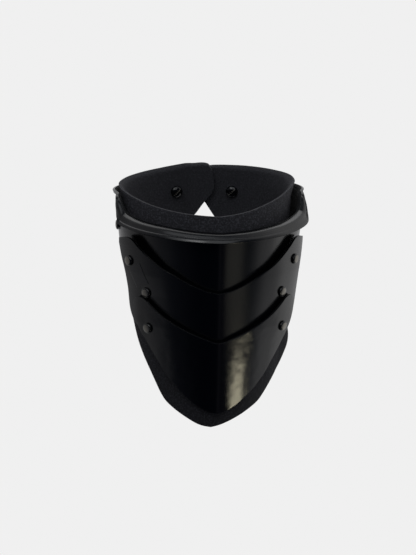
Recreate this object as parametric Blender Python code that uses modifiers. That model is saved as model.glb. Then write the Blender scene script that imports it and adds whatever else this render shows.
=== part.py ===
"""Steel gorget: neck plate, two lames, foam liner, rivets and back screws.

Metres, +Z up, the front of the gorget looks along -Y. The origin is the centre of the neck opening,
level with the outer edge of the front lip.
"""
import math

import bmesh
import bpy
from mathutils import Quaternion, Vector

MM = 0.001

# Driving sizes in mm: half-width of the neck plate, distances from the middle of the neck to its front
# ridge, its widest place and its rear, and the height from the lip down to the lowest steel point.
NECK_HALF_WIDTH = 77.0
NECK_FRONT_DEPTH = 68.0
NECK_SIDE_OFFSET = 6.0
NECK_REAR_DEPTH = 62.0
PLATE_HEIGHT = 144.5
STEEL_THICKNESS = 2.0
FOAM_THICKNESS = 4.0
GAP = 0.3
RIDGE_SLOPE = 0.16
RIDGE_SOFT_WIDTH = 6.0
# Clear space at the front between a lame and the plate behind it. Each lame's widest place lies this far
# before the neck plate's, and it narrows by this much to stay close to the plate, which tapers.
LAME_CLEARANCE = 3.0
UPPER_FORWARD = 12.0
UPPER_TUCK = 1.0
LOWER_FORWARD = 27.5
LOWER_TUCK = 9.4


def plan(half, front, side, taper, z0, lean=0.0):
    """The plan of a shell in mm, which narrows by taper and leans by lean per mm below z0."""
    return {"a": half, "front": -front, "side": side, "taper": taper, "z0": z0, "lean": lean}


WALL_PLAN = plan(NECK_HALF_WIDTH, NECK_FRONT_DEPTH, NECK_SIDE_OFFSET, 0.08, -0.0625 * PLATE_HEIGHT)
LAME_STEP = STEEL_THICKNESS + LAME_CLEARANCE
UPPER_PLAN = plan(NECK_HALF_WIDTH + STEEL_THICKNESS - UPPER_TUCK, NECK_FRONT_DEPTH + LAME_STEP,
                  NECK_SIDE_OFFSET - UPPER_FORWARD, 0.10, -0.25 * PLATE_HEIGHT)
LOWER_PLAN = plan(NECK_HALF_WIDTH + 2.0 * STEEL_THICKNESS - LOWER_TUCK, NECK_FRONT_DEPTH + 2.0 * LAME_STEP,
                  NECK_SIDE_OFFSET - LOWER_FORWARD, 0.12, -0.526 * PLATE_HEIGHT, -0.02)

# Top edge of the neck plate. Columns: angle from the front, outward offset as a share of LIP_WIDTH, height
# of the free edge and of the root as shares of SIDE_HEIGHT, and depth of the hem as a share of HEM_HEIGHT.
LIP_WIDTH = 9.5
SIDE_HEIGHT = 19.6
HEM_HEIGHT = 2.8
LIP = [(0, 1.0, 0.0, 0.11, 1.0), (15, 1.0, 0.005, 0.14, 1.0), (30, 1.0, 0.03, 0.20, 1.0),
       (45, 0.98, 0.06, 0.245, 1.0), (56, 0.905, 0.11, 0.325, 0.93), (62, 0.78, 0.185, 0.43, 0.79),
       (66, 0.63, 0.38, 0.59, 0.57), (70, 0.475, 0.685, 0.795, 0.36), (74, 0.295, 0.93, 0.91, 0.21),
       (78, 0.18, 0.99, 0.93, 0.14), (83, 0.265, 1.0, 0.90, 0.14), (91, 0.325, 0.99, 0.865, 0.14),
       (105, 0.305, 0.97, 0.845, 0.14), (118, 0.255, 0.93, 0.825, 0.14)]
# Where its section turns from the front's lip into the side's raised edge, in degrees.
LIP_TURN = (66.0, 80.0)
# Lower edge of the neck plate: angle, and depth as a share of PLATE_HEIGHT.
WALL_FOOT = [(0, 0.401), (22, 0.401), (42, 0.408), (56, 0.415), (63, 0.388), (66, 0.318),
             (72, 0.228), (82, 0.159), (98, 0.121), (118, 0.097)]

# Lames. Columns: half-width as a share of the plan's, and depth as a share of PLATE_HEIGHT.
UPPER_TOP = [(0, 0.308), (0.077, 0.301), (0.141, 0.294), (0.295, 0.263), (0.449, 0.2215), (0.577, 0.187),
             (0.692, 0.1385), (0.769, 0.1005), (0.833, 0.066), (0.891, 0.0625), (0.949, 0.0795)]
UPPER_FOOT = [(0, 0.633), (0.256, 0.623), (0.487, 0.602), (0.667, 0.581), (0.782, 0.571), (0.833, 0.547),
              (0.872, 0.4845), (0.891, 0.3805), (0.91, 0.27), (0.936, 0.18), (0.949, 0.1105)]
LOWER_TOP = [(0, 0.578), (0.07, 0.574), (0.14, 0.5605), (0.321, 0.5295), (0.517, 0.4845), (0.628, 0.453),
             (0.726, 0.415), (0.796, 0.384), (0.852, 0.377), (0.894, 0.3875)]
LOWER_FOOT = [(0, 1.0), (0.133, 0.983), (0.258, 0.948), (0.363, 0.9065), (0.461, 0.858), (0.559, 0.799),
              (0.642, 0.7335), (0.719, 0.675), (0.782, 0.623), (0.845, 0.574), (0.887, 0.5225),
              (0.915, 0.4635), (0.915, 0.415)]
# The upper lame's left side is wider by this share at the ears, and by nothing at its middle: depths.
UPPER_WIDE = 0.035
WIDE_DEPTHS = (0.36, 0.104)

# Foam. Clear space behind the steel by angle: the liner lies against the plate on the left of the picture
# and at the front, and stands clear of it on the right.
FOAM_CLEAR = [(-190, 0.0), (-152, 0.0), (-118, 0.4), (20, 0.4), (40, 2.0), (60, 5.2), (75, 7.2),
              (90, 7.6), (118, 5.4), (138, 2.0), (155, 0.0), (190, 0.0)]
# Rim by angle on the left and on the right of the picture, its height as a share of RIM_HEIGHT.
RIM_HEIGHT = 34.5
RIM_LEFT = [(0, 0.435), (16, 0.45), (29, 0.48), (43, 0.535), (64, 0.64), (80, 0.71), (92, 0.74),
            (102, 0.74), (118, 0.755), (141, 0.81), (158, 0.885), (172, 1.0), (177, 1.0), (182, 0.94),
            (185.5, 0.74), (186.5, 0.58)]
RIM_RIGHT = [(0, 0.435), (8, 0.465), (15, 0.495), (30, 0.61), (49, 0.74), (61, 0.81), (76, 0.855),
             (90, 0.885), (105, 0.90), (119, 0.90), (150, 0.93), (165, 0.94), (174, 0.94), (179, 0.885),
             (183, 0.725), (185, 0.55)]
# Foot by angle, from the bib's point round to the end of each flap, its depth as a share of PLATE_HEIGHT.
FOOT_LEFT = [(0.5, 1.10), (11, 1.0865), (23, 1.0485), (32.5, 1.014), (40.5, 0.979), (45.5, 0.941),
             (49.5, 0.90), (57, 0.8165), (65, 0.7335), (71.5, 0.6575), (76, 0.5675), (82, 0.443),
             (90, 0.318), (104, 0.228), (135, 0.194), (158, 0.19), (164.5, 0.183), (167, 0.163),
             (171.5, 0.104), (179, 0.014), (184.5, -0.0415), (187, -0.09)]
FOOT_RIGHT = [(-0.5, 1.10), (9, 1.0865), (21.5, 1.055), (31, 1.024), (39, 0.993), (44, 0.955),
              (48.5, 0.9135), (57.5, 0.837), (66, 0.754), (73, 0.664), (77, 0.5675), (83, 0.443),
              (90, 0.318), (104, 0.228), (135, 0.194), (156, 0.19), (163, 0.183), (165.5, 0.163),
              (172, 0.104), (179, 0.014), (183.5, -0.0415), (185.5, -0.083)]
# Flare of the rim at the sides, draw-in low under the plates, inset of the left flap, lean of the bib onto
# the lower lame's plan, clearance on the right there, and sideways drift of the bib's point. Each has its
# range of angles, or of depths as shares of PLATE_HEIGHT, or of heights as shares of RIM_HEIGHT.
RIM_FLARE = 2.2
RIM_FLARE_HEIGHTS = (0.435, 0.81)
RIM_FLARE_ANGLES = (50.0, 80.0, 118.0, 148.0)
DRAW_IN = 0.6
DRAW_IN_DEPTHS = (0.208, 0.332)
FLAP_INSET = FOAM_THICKNESS + GAP + 0.25
FLAP_INSET_ANGLES = (166.0, 173.5)
BIB_DEPTHS = (0.422, 0.72)
BIB_BEHIND = STEEL_THICKNESS + 2.2
RIGHT_FLARE = 4.0
RIGHT_FLARE_ANGLES = (58.0, 74.0)
POINT_DRIFT = -4.0
POINT_DRIFT_DEPTHS = (0.817, 1.107)

# Rivets: half-distance from the middle as a share of the plan's half-width, and depth as a share of
# PLATE_HEIGHT; the upper ones sit wider on the left.
COLLAR_RIVET_ANGLE = 84.0
COLLAR_RIVET_DEPTH = 0.0485
UPPER_RIVET_L = (0.88, 0.19)
UPPER_RIVET_R = (0.828, 0.183)
MIDDLE_RIVET_L = (0.71, 0.3515)
MIDDLE_RIVET_R = (0.685, 0.35)
LOWER_RIVET = (0.76, 0.544)
RIVET_HEAD_DIAMETER = 8.4
RIVET_HEAD_HEIGHT = 2.2
RIVET_SHANK_DIAMETER = 4.6
BACK_HEAD_DIAMETER = 6.6
BACK_RISE = 1.0
SEAT = 0.35
PLAY = 0.3
POCKET_PLAY = 0.5
SCREW_HEAD_DIAMETER = 10.4
SCREW_HEAD_HEIGHT = 3.4
SCREW_SHANK_DIAMETER = 4.4
NUT_DIAMETER = 7.8
NUT_HEIGHT = 1.4
SCREW_X = -0.2
SCREW_HALF_SPACING = 0.344 * NECK_HALF_WIDTH
SCREW_HEIGHT = 8.8
SLOT_WIDTH = 1.5
SLOT_TURN = -45.0
FLAP_OUT = -2.0
STRIP_THICKNESS = 2.0
STRIP_END = 11.5
STRIP_HALF_WIDTH = SCREW_HALF_SPACING + STRIP_END
STRIP_HEIGHT = 20.0

# Label patch on the upper lame: its middle (angle, and depth as a share of PLATE_HEIGHT), size and turn.
PATCH_AT = (-52.0, 0.264)
PATCH_WIDTH = 15.0
PATCH_HEIGHT = 17.2
PATCH_TURN = 25.0
PATCH_THICKNESS = 0.4
PATCH_GAP = 0.15


def ramp(value, start, end):
    """0 at start, 1 at end and straight between them."""
    return max(0.0, min(1.0, (value - start) / (end - start)))


def soft(share):
    """A share from 0 to 1 with flat ends."""
    return share * share * (3.0 - 2.0 * share)


def ease(table, value, column=1):
    """A smooth value from a short table, by monotone cubic steps between its rows."""
    xs = [row[0] for row in table]
    ys = [row[column] for row in table]
    if value <= xs[0]:
        return ys[0]
    if value >= xs[-1]:
        return ys[-1]
    count = len(xs)
    slopes = [(ys[i + 1] - ys[i]) / (xs[i + 1] - xs[i]) for i in range(count - 1)]
    tangents = [slopes[0]]
    for i in range(1, count - 1):
        if slopes[i - 1] * slopes[i] <= 0.0:
            tangents.append(0.0)
        else:
            tangents.append(2.0 * slopes[i - 1] * slopes[i] / (slopes[i - 1] + slopes[i]))
    tangents.append(slopes[-1])
    k = max(i for i in range(count - 1) if xs[i] <= value)
    step = xs[k + 1] - xs[k]
    f = (value - xs[k]) / step
    h00 = 2 * f ** 3 - 3 * f ** 2 + 1
    h10 = f ** 3 - 2 * f ** 2 + f
    h01 = -2 * f ** 3 + 3 * f ** 2
    h11 = f ** 3 - f ** 2
    return h00 * ys[k] + h10 * step * tangents[k] + h01 * ys[k + 1] + h11 * step * tangents[k + 1]


def down(share):
    """The height in mm at a share of PLATE_HEIGHT below the lip."""
    return -share * PLATE_HEIGHT


def outline(table, wide=1.0):
    """A table of places and depths as points, its first column times wide."""
    return [(place * wide, down(depth)) for place, depth in table]


def ridge(x):
    """How far the front falls back at x from the middle."""
    return RIDGE_SLOPE * (math.sqrt(x * x + RIDGE_SOFT_WIDTH ** 2) - RIDGE_SOFT_WIDTH)


def on_plan(plan, angle, z, out=0.0):
    """A point of a shell in mm, angle in degrees from the front, moved outward by out."""
    t = math.radians(angle)
    a = plan["a"] + plan["taper"] * min(0.0, z - plan["z0"])
    front = plan["front"] + plan["lean"] * min(0.0, z - plan["z0"])

    def spot(s):
        x = a * math.sin(s)
        if math.cos(s) >= 0.0:
            back = plan["side"] - ridge(a)
            return x, -(back - front) * math.cos(s) + ridge(x) + back
        return x, plan["side"] - (NECK_REAR_DEPTH - plan["side"]) * math.cos(s)

    x, y = spot(t)
    if out:
        x0, y0 = spot(t - 0.01)
        x1, y1 = spot(t + 0.01)
        dx = x1 - x0
        dy = y1 - y0
        size = math.hypot(dx, dy)
        x += out * dy / size
        y -= out * dx / size
    return Vector((x, y, z))


def angle_at(plan, x, z):
    """The angle of a shell at half-width x."""
    a = plan["a"] + plan["taper"] * min(0.0, z - plan["z0"])
    return math.degrees(math.asin(max(-1.0, min(1.0, x / a))))


def normal_at(plan, angle, z):
    """The outward direction of a shell."""
    base = on_plan(plan, angle, z)
    side = on_plan(plan, angle + 0.5, z) - on_plan(plan, angle - 0.5, z)
    up = on_plan(plan, angle, z + 0.5) - on_plan(plan, angle, z - 0.5)
    direction = side.cross(up).normalized()
    outward = base - Vector((0.0, 0.0, z))
    return direction if direction.dot(outward) > 0.0 else -direction


def bent(points, count):
    """Evenly spaced points along a polyline of (x, z) corners, smoothed by Catmull-Rom steps."""
    fine = []
    last = len(points) - 1
    for i in range(last):
        p0 = points[max(i - 1, 0)]
        p1 = points[i]
        p2 = points[i + 1]
        p3 = points[min(i + 2, last)]
        for j in range(16):
            f = j / 16.0
            fine.append(tuple(
                0.5 * (2 * p1[k] + (p2[k] - p0[k]) * f + (2 * p0[k] - 5 * p1[k] + 4 * p2[k] - p3[k]) * f * f
                       + (3 * p1[k] - p0[k] - 3 * p2[k] + p3[k]) * f ** 3) for k in (0, 1)))
    fine.append(tuple(points[last]))
    lengths = [0.0]
    for i in range(len(fine) - 1):
        lengths.append(lengths[-1] + math.hypot(fine[i + 1][0] - fine[i][0], fine[i + 1][1] - fine[i][1]))
    result = []
    k = 0
    for j in range(count + 1):
        goal = lengths[-1] * j / count
        while k < len(fine) - 2 and lengths[k + 1] < goal:
            k += 1
        span = lengths[k + 1] - lengths[k]
        f = (goal - lengths[k]) / span if span > 0.0 else 0.0
        result.append((fine[k][0] + f * (fine[k + 1][0] - fine[k][0]),
                       fine[k][1] + f * (fine[k + 1][1] - fine[k][1])))
    return result


def clear_scene():
    for item in list(bpy.data.objects):
        bpy.data.objects.remove(item, do_unlink=True)


def new_collection(name):
    group = bpy.data.collections.new(name)
    bpy.context.scene.collection.children.link(group)
    return group


def new_material(name, color, roughness, metallic):
    material = bpy.data.materials.new(name)
    material.use_nodes = True
    shader = material.node_tree.nodes["Principled BSDF"]
    shader.inputs["Base Color"].default_value = (color[0], color[1], color[2], 1.0)
    shader.inputs["Roughness"].default_value = roughness
    shader.inputs["Metallic"].default_value = metallic
    return material


def put(obj, group, material):
    for owner in list(obj.users_collection):
        owner.objects.unlink(obj)
    group.objects.link(obj)
    if material is not None:
        obj.data.materials.clear()
        obj.data.materials.append(material)
    return obj


def sheet(name, rows, group, material):
    """An object from rows of points in mm, each row running left to right, rows from foot to top."""
    bm = bmesh.new()
    made = [[bm.verts.new(point * MM) for point in row] for row in rows]
    for lower, upper in zip(made, made[1:]):
        for i in range(len(lower) - 1):
            bm.faces.new((lower[i], lower[i + 1], upper[i + 1], upper[i]))
    mesh = bpy.data.meshes.new(name)
    bm.to_mesh(mesh)
    bm.free()
    obj = bpy.data.objects.new(name, mesh)
    return put(obj, group, material)


def thicken(obj, thickness, bevel, mirrored):
    """Mirror where the piece is symmetric, then thickness inward and a small bevel on the cut edges."""
    if mirrored:
        mirror = obj.modifiers.new("Mirror", "MIRROR")
        mirror.use_axis = (True, False, False)
        mirror.use_clip = True
        mirror.merge_threshold = 0.0001
    solid = obj.modifiers.new("Solidify", "SOLIDIFY")
    solid.thickness = thickness * MM
    solid.offset = -1.0
    solid.use_even_offset = True
    solid.use_quality_normals = True
    edge = obj.modifiers.new("Bevel", "BEVEL")
    edge.width = bevel * MM
    edge.segments = 1
    edge.limit_method = "ANGLE"
    edge.angle_limit = math.radians(50.0)


def cut(obj, cutter):
    boolean = obj.modifiers.new("Cut " + cutter.name, "BOOLEAN")
    boolean.operation = "DIFFERENCE"
    boolean.solver = "EXACT"
    boolean.object = cutter


def smooth(obj, degrees=35.0):
    for polygon in obj.data.polygons:
        polygon.use_smooth = True
    obj.data.set_sharp_from_angle(angle=math.radians(degrees))


def aim(obj, point, direction):
    """Place an object at a point in mm with its own +Z along a direction."""
    obj.location = point * MM
    obj.rotation_mode = "QUATERNION"
    obj.rotation_quaternion = direction.to_track_quat("Z", "Y")


def turned(name, profile, group, material, steps=12):
    """A solid turned about its own Z from a profile of (radius, z) in mm, top to bottom."""
    mesh = bpy.data.meshes.new(name)
    bm = bmesh.new()
    chain = [bm.verts.new((radius * MM, 0.0, z * MM)) for radius, z in profile]
    for first, second in zip(chain, chain[1:]):
        bm.edges.new((first, second))
    bm.to_mesh(mesh)
    bm.free()
    obj = bpy.data.objects.new(name, mesh)
    screw = obj.modifiers.new("Screw", "SCREW")
    screw.axis = "Z"
    screw.steps = steps
    screw.render_steps = steps
    screw.use_merge_vertices = True
    screw.merge_threshold = 0.0001
    return put(obj, group, material)


def cylinder(name, radius, low, high, point, direction, group, sides=12):
    """A cutter: a cylinder along a direction from low to high of a point in mm."""
    middle = point + direction * (low + high) / 2.0
    bpy.ops.mesh.primitive_cylinder_add(vertices=sides, radius=radius * MM, depth=(high - low) * MM)
    obj = bpy.context.active_object
    obj.name = name
    put(obj, group, None)
    aim(obj, middle, direction)
    obj.display_type = "WIRE"
    obj.hide_render = True
    return obj


def lip_section(angle):
    """The neck plate above its wall at an angle: (outward offset, height) from the wall to the hem."""
    out = ease(LIP, angle, 1) * LIP_WIDTH
    edge = ease(LIP, angle, 2) * SIDE_HEIGHT
    root = ease(LIP, angle, 3) * SIDE_HEIGHT
    hem = ease(LIP, angle, 4) * HEM_HEIGHT
    side = soft(ramp(angle, *LIP_TURN))
    low = WALL_PLAN["z0"] + (root + 2.0) * 0.32 * side
    knee = root - 3.6 - 4.0 * side
    return [(0.0, low), (0.05, knee), (0.75 - 0.25 * side, root - 1.1 - 1.6 * side),
            (0.24 * out + 0.1, root - 0.1 - 0.5 * side), (0.55 * out, root + 0.52 * (edge - root)),
            (out - 0.5, edge + 0.25), (out + 0.25, edge - 0.45), (out + 0.45, edge - hem)]


def wall_rows(columns, levels):
    """Right half of the neck plate as rows of points from the foot to the hem."""
    foot = bent(outline(WALL_FOOT), columns)
    last = LIP[-1][0]
    heads = []
    for j in range(columns + 1):
        f = j / columns
        heads.append(last * (0.86 * f + 0.14 * f * f) if f < 1.0 else last)
    sections = [lip_section(angle) for angle in heads]
    rows = []
    for i in range(levels):
        f = i / levels
        row = []
        for j in range(columns + 1):
            angle = foot[j][0] + (heads[j] - foot[j][0]) * f
            z = foot[j][1] + (sections[j][0][1] - foot[j][1]) * f
            row.append(on_plan(WALL_PLAN, angle, z))
        rows.append(row)
    for i in range(len(sections[0])):
        rows.append([on_plan(WALL_PLAN, heads[j], sections[j][i][1], sections[j][i][0])
                     for j in range(columns + 1)])
    return rows


def lame_rows(plan, top, foot, columns, levels, wide_left=0.0):
    """A lame as rows of points from the foot to the top edge, its left side wider by a share."""
    head = bent(outline(top, plan["a"]), columns)
    base = bent(outline(foot, plan["a"]), columns)
    rows = []
    for i in range(levels + 1):
        f = i / levels
        row = []
        for j in range(columns + 1):
            x = base[j][0] + (head[j][0] - base[j][0]) * f
            z = base[j][1] + (head[j][1] - base[j][1]) * f
            row.append(on_plan(plan, angle_at(plan, x, z), z))
        other = []
        for point in reversed(row[1:]):
            share = wide_left * ear(point.z)
            other.append(Vector((-point.x * (1.0 + share), point.y, point.z)))
        rows.append(other + row)
    return rows


def ear(z):
    """How near a height is to the upper lame's ears, from 0 at its middle to 1."""
    low, high = WIDE_DEPTHS
    return ramp(z, down(low), down(high))


def foam_point(angle, z):
    """A point of the foam's outer face; the flap on the left of the picture passes inside the other."""
    sign = -1.0 if angle < 0.0 else 1.0
    turned_by = abs(angle)
    offset = -STEEL_THICKNESS - ease(FOAM_CLEAR, angle)
    begin, full, fade, end = RIM_FLARE_ANGLES
    sides = ramp(turned_by, begin, full) * ramp(turned_by, end, fade)
    low, high = RIM_FLARE_HEIGHTS
    offset += RIM_FLARE * sides * (max(0.0, z / RIM_HEIGHT - low) / (high - low)) ** 1.6
    depth = -z / PLATE_HEIGHT
    offset -= DRAW_IN * ramp(depth, *DRAW_IN_DEPTHS)
    if angle < 0.0:
        offset -= FLAP_INSET * soft(ramp(turned_by, *FLAP_INSET_ANGLES))
    point = on_plan(WALL_PLAN, angle, z, offset)
    clear = RIGHT_FLARE * ramp(angle, *RIGHT_FLARE_ANGLES)
    bib = on_plan(LOWER_PLAN, sign * min(89.0, turned_by), z, clear - BIB_BEHIND)
    point = point.lerp(bib, soft(ramp(depth, *BIB_DEPTHS)))
    point.x += POINT_DRIFT * ramp(depth, *POINT_DRIFT_DEPTHS) ** 2
    return point


def foam_rows(columns, levels):
    """The whole liner from the end of one flap round the front to the end of the other."""
    base_left = bent(outline(FOOT_LEFT), columns)
    base_right = bent(outline(FOOT_RIGHT), columns)
    rows = []
    for i in range(levels + 1):
        f = i / levels
        row = []
        for sign, base, rim in ((-1.0, base_left, RIM_LEFT), (1.0, base_right, RIM_RIGHT)):
            part = []
            for j in range(columns + 1):
                head = rim[-1][0] * j / columns
                angle = base[j][0] + (head - base[j][0]) * f
                top = ease(rim, head) * RIM_HEIGHT
                z = base[j][1] + (top - base[j][1]) * f
                part.append(foam_point(sign * angle, z))
            if sign < 0.0:
                row.extend(reversed(part))
            else:
                row.extend(part[1:])
        rows.append(row)
    return rows


def inside(plan, spot):
    """How far a point lies inside a shell's outer face."""
    best = 0.0
    near = 1.0e9
    for step, span in ((4.0, 32), (0.5, 8)):
        middle = best
        for k in range(-span, span + 1):
            angle = middle + k * step
            gap = (on_plan(plan, angle, spot.z) - spot).length
            if gap < near:
                near = gap
                best = angle
    return (on_plan(plan, best, spot.z) - spot).dot(normal_at(plan, best, spot.z))


def depth_to(plan, point, direction, inner):
    """How far a line from a point must run against a direction to leave a shell's inner face."""
    low = 0.0
    high = 25.0
    for _ in range(10):
        middle = (low + high) / 2.0
        if inside(plan, point - direction * middle) > inner:
            high = middle
        else:
            low = middle
    return high


def rivet_profile(length):
    """Domed head, shank through the plates and flat back head, top to bottom."""
    head = RIVET_HEAD_DIAMETER / 2.0
    shank = RIVET_SHANK_DIAMETER / 2.0
    back = BACK_HEAD_DIAMETER / 2.0
    rise = RIVET_HEAD_HEIGHT
    return [(0.0, rise), (head * 0.66, rise * 0.93), (head * 0.93, rise * 0.66), (head, rise * 0.25),
            (head, 0.0), (shank, 0.0), (shank, -length), (back, -length), (back, -length - BACK_RISE),
            (0.0, -length - BACK_RISE)]


def side_point(plan, place, sign, wide_left=0.0):
    """A point of a lame's outer face and its outward direction at a place of shares."""
    z = down(place[1])
    share = 0.0
    if sign < 0.0:
        share = wide_left * ear(z)
    angle = angle_at(plan, place[0] * plan["a"] / (1.0 + share), z)
    point = on_plan(plan, sign * angle, z)
    point.x *= 1.0 + share
    return point, normal_at(plan, sign * angle, z)


def rivet(name, point, direction, inner_plan, holes, foam, group, cutters, material):
    """A rivet whose head stands on a plate's outer face, with its holes and its pocket in the foam."""
    seat = point + direction * SEAT
    length = 0.0
    for turn in range(8):
        around = direction.orthogonal().normalized() * BACK_HEAD_DIAMETER / 2.0
        around.rotate(Quaternion(direction, math.radians(45.0 * turn)))
        length = max(length, depth_to(inner_plan, seat + around, direction, STEEL_THICKNESS))
    length += 0.5
    obj = turned(name, rivet_profile(length), group, material)
    aim(obj, seat, direction)
    smooth(obj)
    bore = RIVET_SHANK_DIAMETER / 2.0 + PLAY
    hole = cylinder("hole_" + name, bore, -length - PLAY, STEEL_THICKNESS, seat, direction, cutters)
    for plate in holes:
        cut(plate, hole)
    recess = BACK_HEAD_DIAMETER / 2.0 + POCKET_PLAY
    pocket = cylinder("pocket_" + name, recess, -length - BACK_RISE - POCKET_PLAY, FOAM_THICKNESS - length,
                      seat, direction, cutters)
    cut(foam, pocket)
    return obj


def rear_point(x, z, out):
    """A point near the rear of the neck at half-distance x, moved outward from the neck plate's plan."""
    angle = 180.0 - math.degrees(math.asin(max(-1.0, min(1.0, x / WALL_PLAN["a"]))))
    return on_plan(WALL_PLAN, angle, z, out), normal_at(WALL_PLAN, angle, z)


def back_screw(name, x, foam, strip, group, cutters, material):
    """A slotted dome inside the neck, its shank through foam and strip, and a flat nut behind."""
    outer, direction = rear_point(x, SCREW_HEIGHT, FLAP_OUT)
    inward = -direction
    inner_face = FOAM_THICKNESS + GAP + 0.5
    head = SCREW_HEAD_DIAMETER / 2.0
    shank = SCREW_SHANK_DIAMETER / 2.0
    back = -inner_face - STRIP_THICKNESS - 3.0 * GAP
    rise = SCREW_HEAD_HEIGHT
    profile = [(0.0, rise), (head * 0.38, rise * 0.94), (head * 0.70, rise * 0.74),
               (head * 0.93, rise * 0.40), (head, 0.0), (shank, 0.0), (shank, back),
               (NUT_DIAMETER / 2.0, back), (NUT_DIAMETER / 2.0, back - NUT_HEIGHT), (0.0, back - NUT_HEIGHT)]
    seat = outer + inward * inner_face
    obj = turned(name, profile, group, material)
    aim(obj, seat, inward)
    bpy.ops.mesh.primitive_cube_add(size=1.0)
    slot = bpy.context.active_object
    slot.name = "slot_" + name
    put(slot, cutters, None)
    slot.scale = (SLOT_WIDTH * MM, 1.4 * SCREW_HEAD_DIAMETER * MM, 0.9 * rise * MM)
    aim(slot, seat + inward * rise, inward)
    slot.rotation_quaternion @= Quaternion((0.0, 0.0, 1.0), math.radians(SLOT_TURN))
    slot.display_type = "WIRE"
    slot.hide_render = True
    cut(obj, slot)
    smooth(obj)
    hole = cylinder("hole_" + name, shank + PLAY, back - 1.0, 0.0, seat, inward, cutters)
    cut(foam, hole)
    cut(strip, hole)
    return obj


def strip_rows(columns):
    """The closure strip's outer face behind the flaps."""
    rows = []
    for z in (SCREW_HEIGHT - STRIP_HEIGHT / 2.0, SCREW_HEIGHT, SCREW_HEIGHT + STRIP_HEIGHT / 2.0):
        row = []
        for j in range(columns + 1):
            x = SCREW_X + STRIP_HALF_WIDTH - 2.0 * STRIP_HALF_WIDTH * j / columns
            row.append(rear_point(x, z, FLAP_OUT + GAP + STRIP_THICKNESS)[0])
        rows.append(row)
    return rows


def patch_rows(columns, levels):
    """The label patch's outer face, a turned rectangle laid on the upper lame."""
    turn = math.radians(PATCH_TURN)
    a = UPPER_PLAN["a"]
    rows = []
    for i in range(levels + 1):
        v = PATCH_HEIGHT * (i / levels - 0.5)
        row = []
        for j in range(columns + 1):
            u = PATCH_WIDTH * (j / columns - 0.5)
            along = u * math.cos(turn) - v * math.sin(turn)
            up = u * math.sin(turn) + v * math.cos(turn)
            z = down(PATCH_AT[1]) + up
            angle = PATCH_AT[0] + math.degrees(along / a) * 1.12
            point = on_plan(UPPER_PLAN, angle, z, PATCH_GAP + PATCH_THICKNESS)
            point.x *= 1.0 + UPPER_WIDE * ear(z)
            row.append(point)
        rows.append(row)
    return rows


def main():
    clear_scene()
    group = new_collection("steel_gorget")
    cutters = new_collection("cutters")
    cutters.hide_render = True

    black = new_material("black_paint", (0.012, 0.012, 0.014), 0.28, 0.0)
    foam_black = new_material("black_foam", (0.018, 0.018, 0.020), 0.85, 0.0)
    rivet_grey = new_material("rivet_steel", (0.20, 0.19, 0.18), 0.35, 1.0)
    screw_black = new_material("screw_black", (0.010, 0.010, 0.012), 0.18, 0.0)
    strip_black = new_material("strip_black", (0.014, 0.014, 0.015), 0.6, 0.0)
    patch_black = new_material("patch_black", (0.020, 0.020, 0.021), 0.45, 0.0)

    neck = sheet("neck_plate", wall_rows(24, 3), group, black)
    thicken(neck, STEEL_THICKNESS, 0.45, True)
    upper = sheet("upper_lame", lame_rows(UPPER_PLAN, UPPER_TOP, UPPER_FOOT, 20, 4, UPPER_WIDE), group,
                  black)
    thicken(upper, STEEL_THICKNESS, 0.45, False)
    lower = sheet("lower_lame", lame_rows(LOWER_PLAN, LOWER_TOP, LOWER_FOOT, 20, 5), group, black)
    thicken(lower, STEEL_THICKNESS, 0.45, False)
    foam = sheet("foam_liner", foam_rows(34, 7), group, foam_black)
    thicken(foam, FOAM_THICKNESS, 0.7, False)
    strip = sheet("back_closure", strip_rows(8), group, strip_black)
    thicken(strip, STRIP_THICKNESS, 0.4, False)
    patch = sheet("label_patch", patch_rows(3, 2), group, patch_black)
    thicken(patch, PATCH_THICKNESS, 0.1, False)

    for side, sign in (("l", -1.0), ("r", 1.0)):
        angle = sign * COLLAR_RIVET_ANGLE
        level = down(COLLAR_RIVET_DEPTH)
        rivet("collar_rivet_" + side, on_plan(WALL_PLAN, angle, level), normal_at(WALL_PLAN, angle, level),
              WALL_PLAN, (neck,), foam, group, cutters, rivet_grey)
        for row, place in (("upper", UPPER_RIVET_L if sign < 0.0 else UPPER_RIVET_R),
                           ("middle", MIDDLE_RIVET_L if sign < 0.0 else MIDDLE_RIVET_R)):
            point, direction = side_point(UPPER_PLAN, place, sign, UPPER_WIDE)
            rivet(row + "_rivet_" + side, point, direction, WALL_PLAN, (upper, neck), foam, group, cutters,
                  rivet_grey)
        point, direction = side_point(LOWER_PLAN, LOWER_RIVET, sign)
        rivet("lower_rivet_" + side, point, direction, UPPER_PLAN, (lower, upper), foam, group, cutters,
              rivet_grey)
        back_screw("back_screw_" + side, SCREW_X + sign * SCREW_HALF_SPACING, foam, strip, group, cutters,
                   screw_black)

    for piece in (neck, upper, lower, foam, strip, patch):
        smooth(piece)


if __name__ == "__main__":
    main()
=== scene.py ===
"""Steel gorget: gloss black plates riveted over a matt foam liner, dressed for rendering.

Metres, +Z up, the front of the gorget looks along -Y. The shapes are worked out in millimetres.
"""
import math

import bmesh
import bpy
from bpy.props import FloatProperty, FloatVectorProperty, IntProperty, PointerProperty
from mathutils import Matrix, Vector


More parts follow.
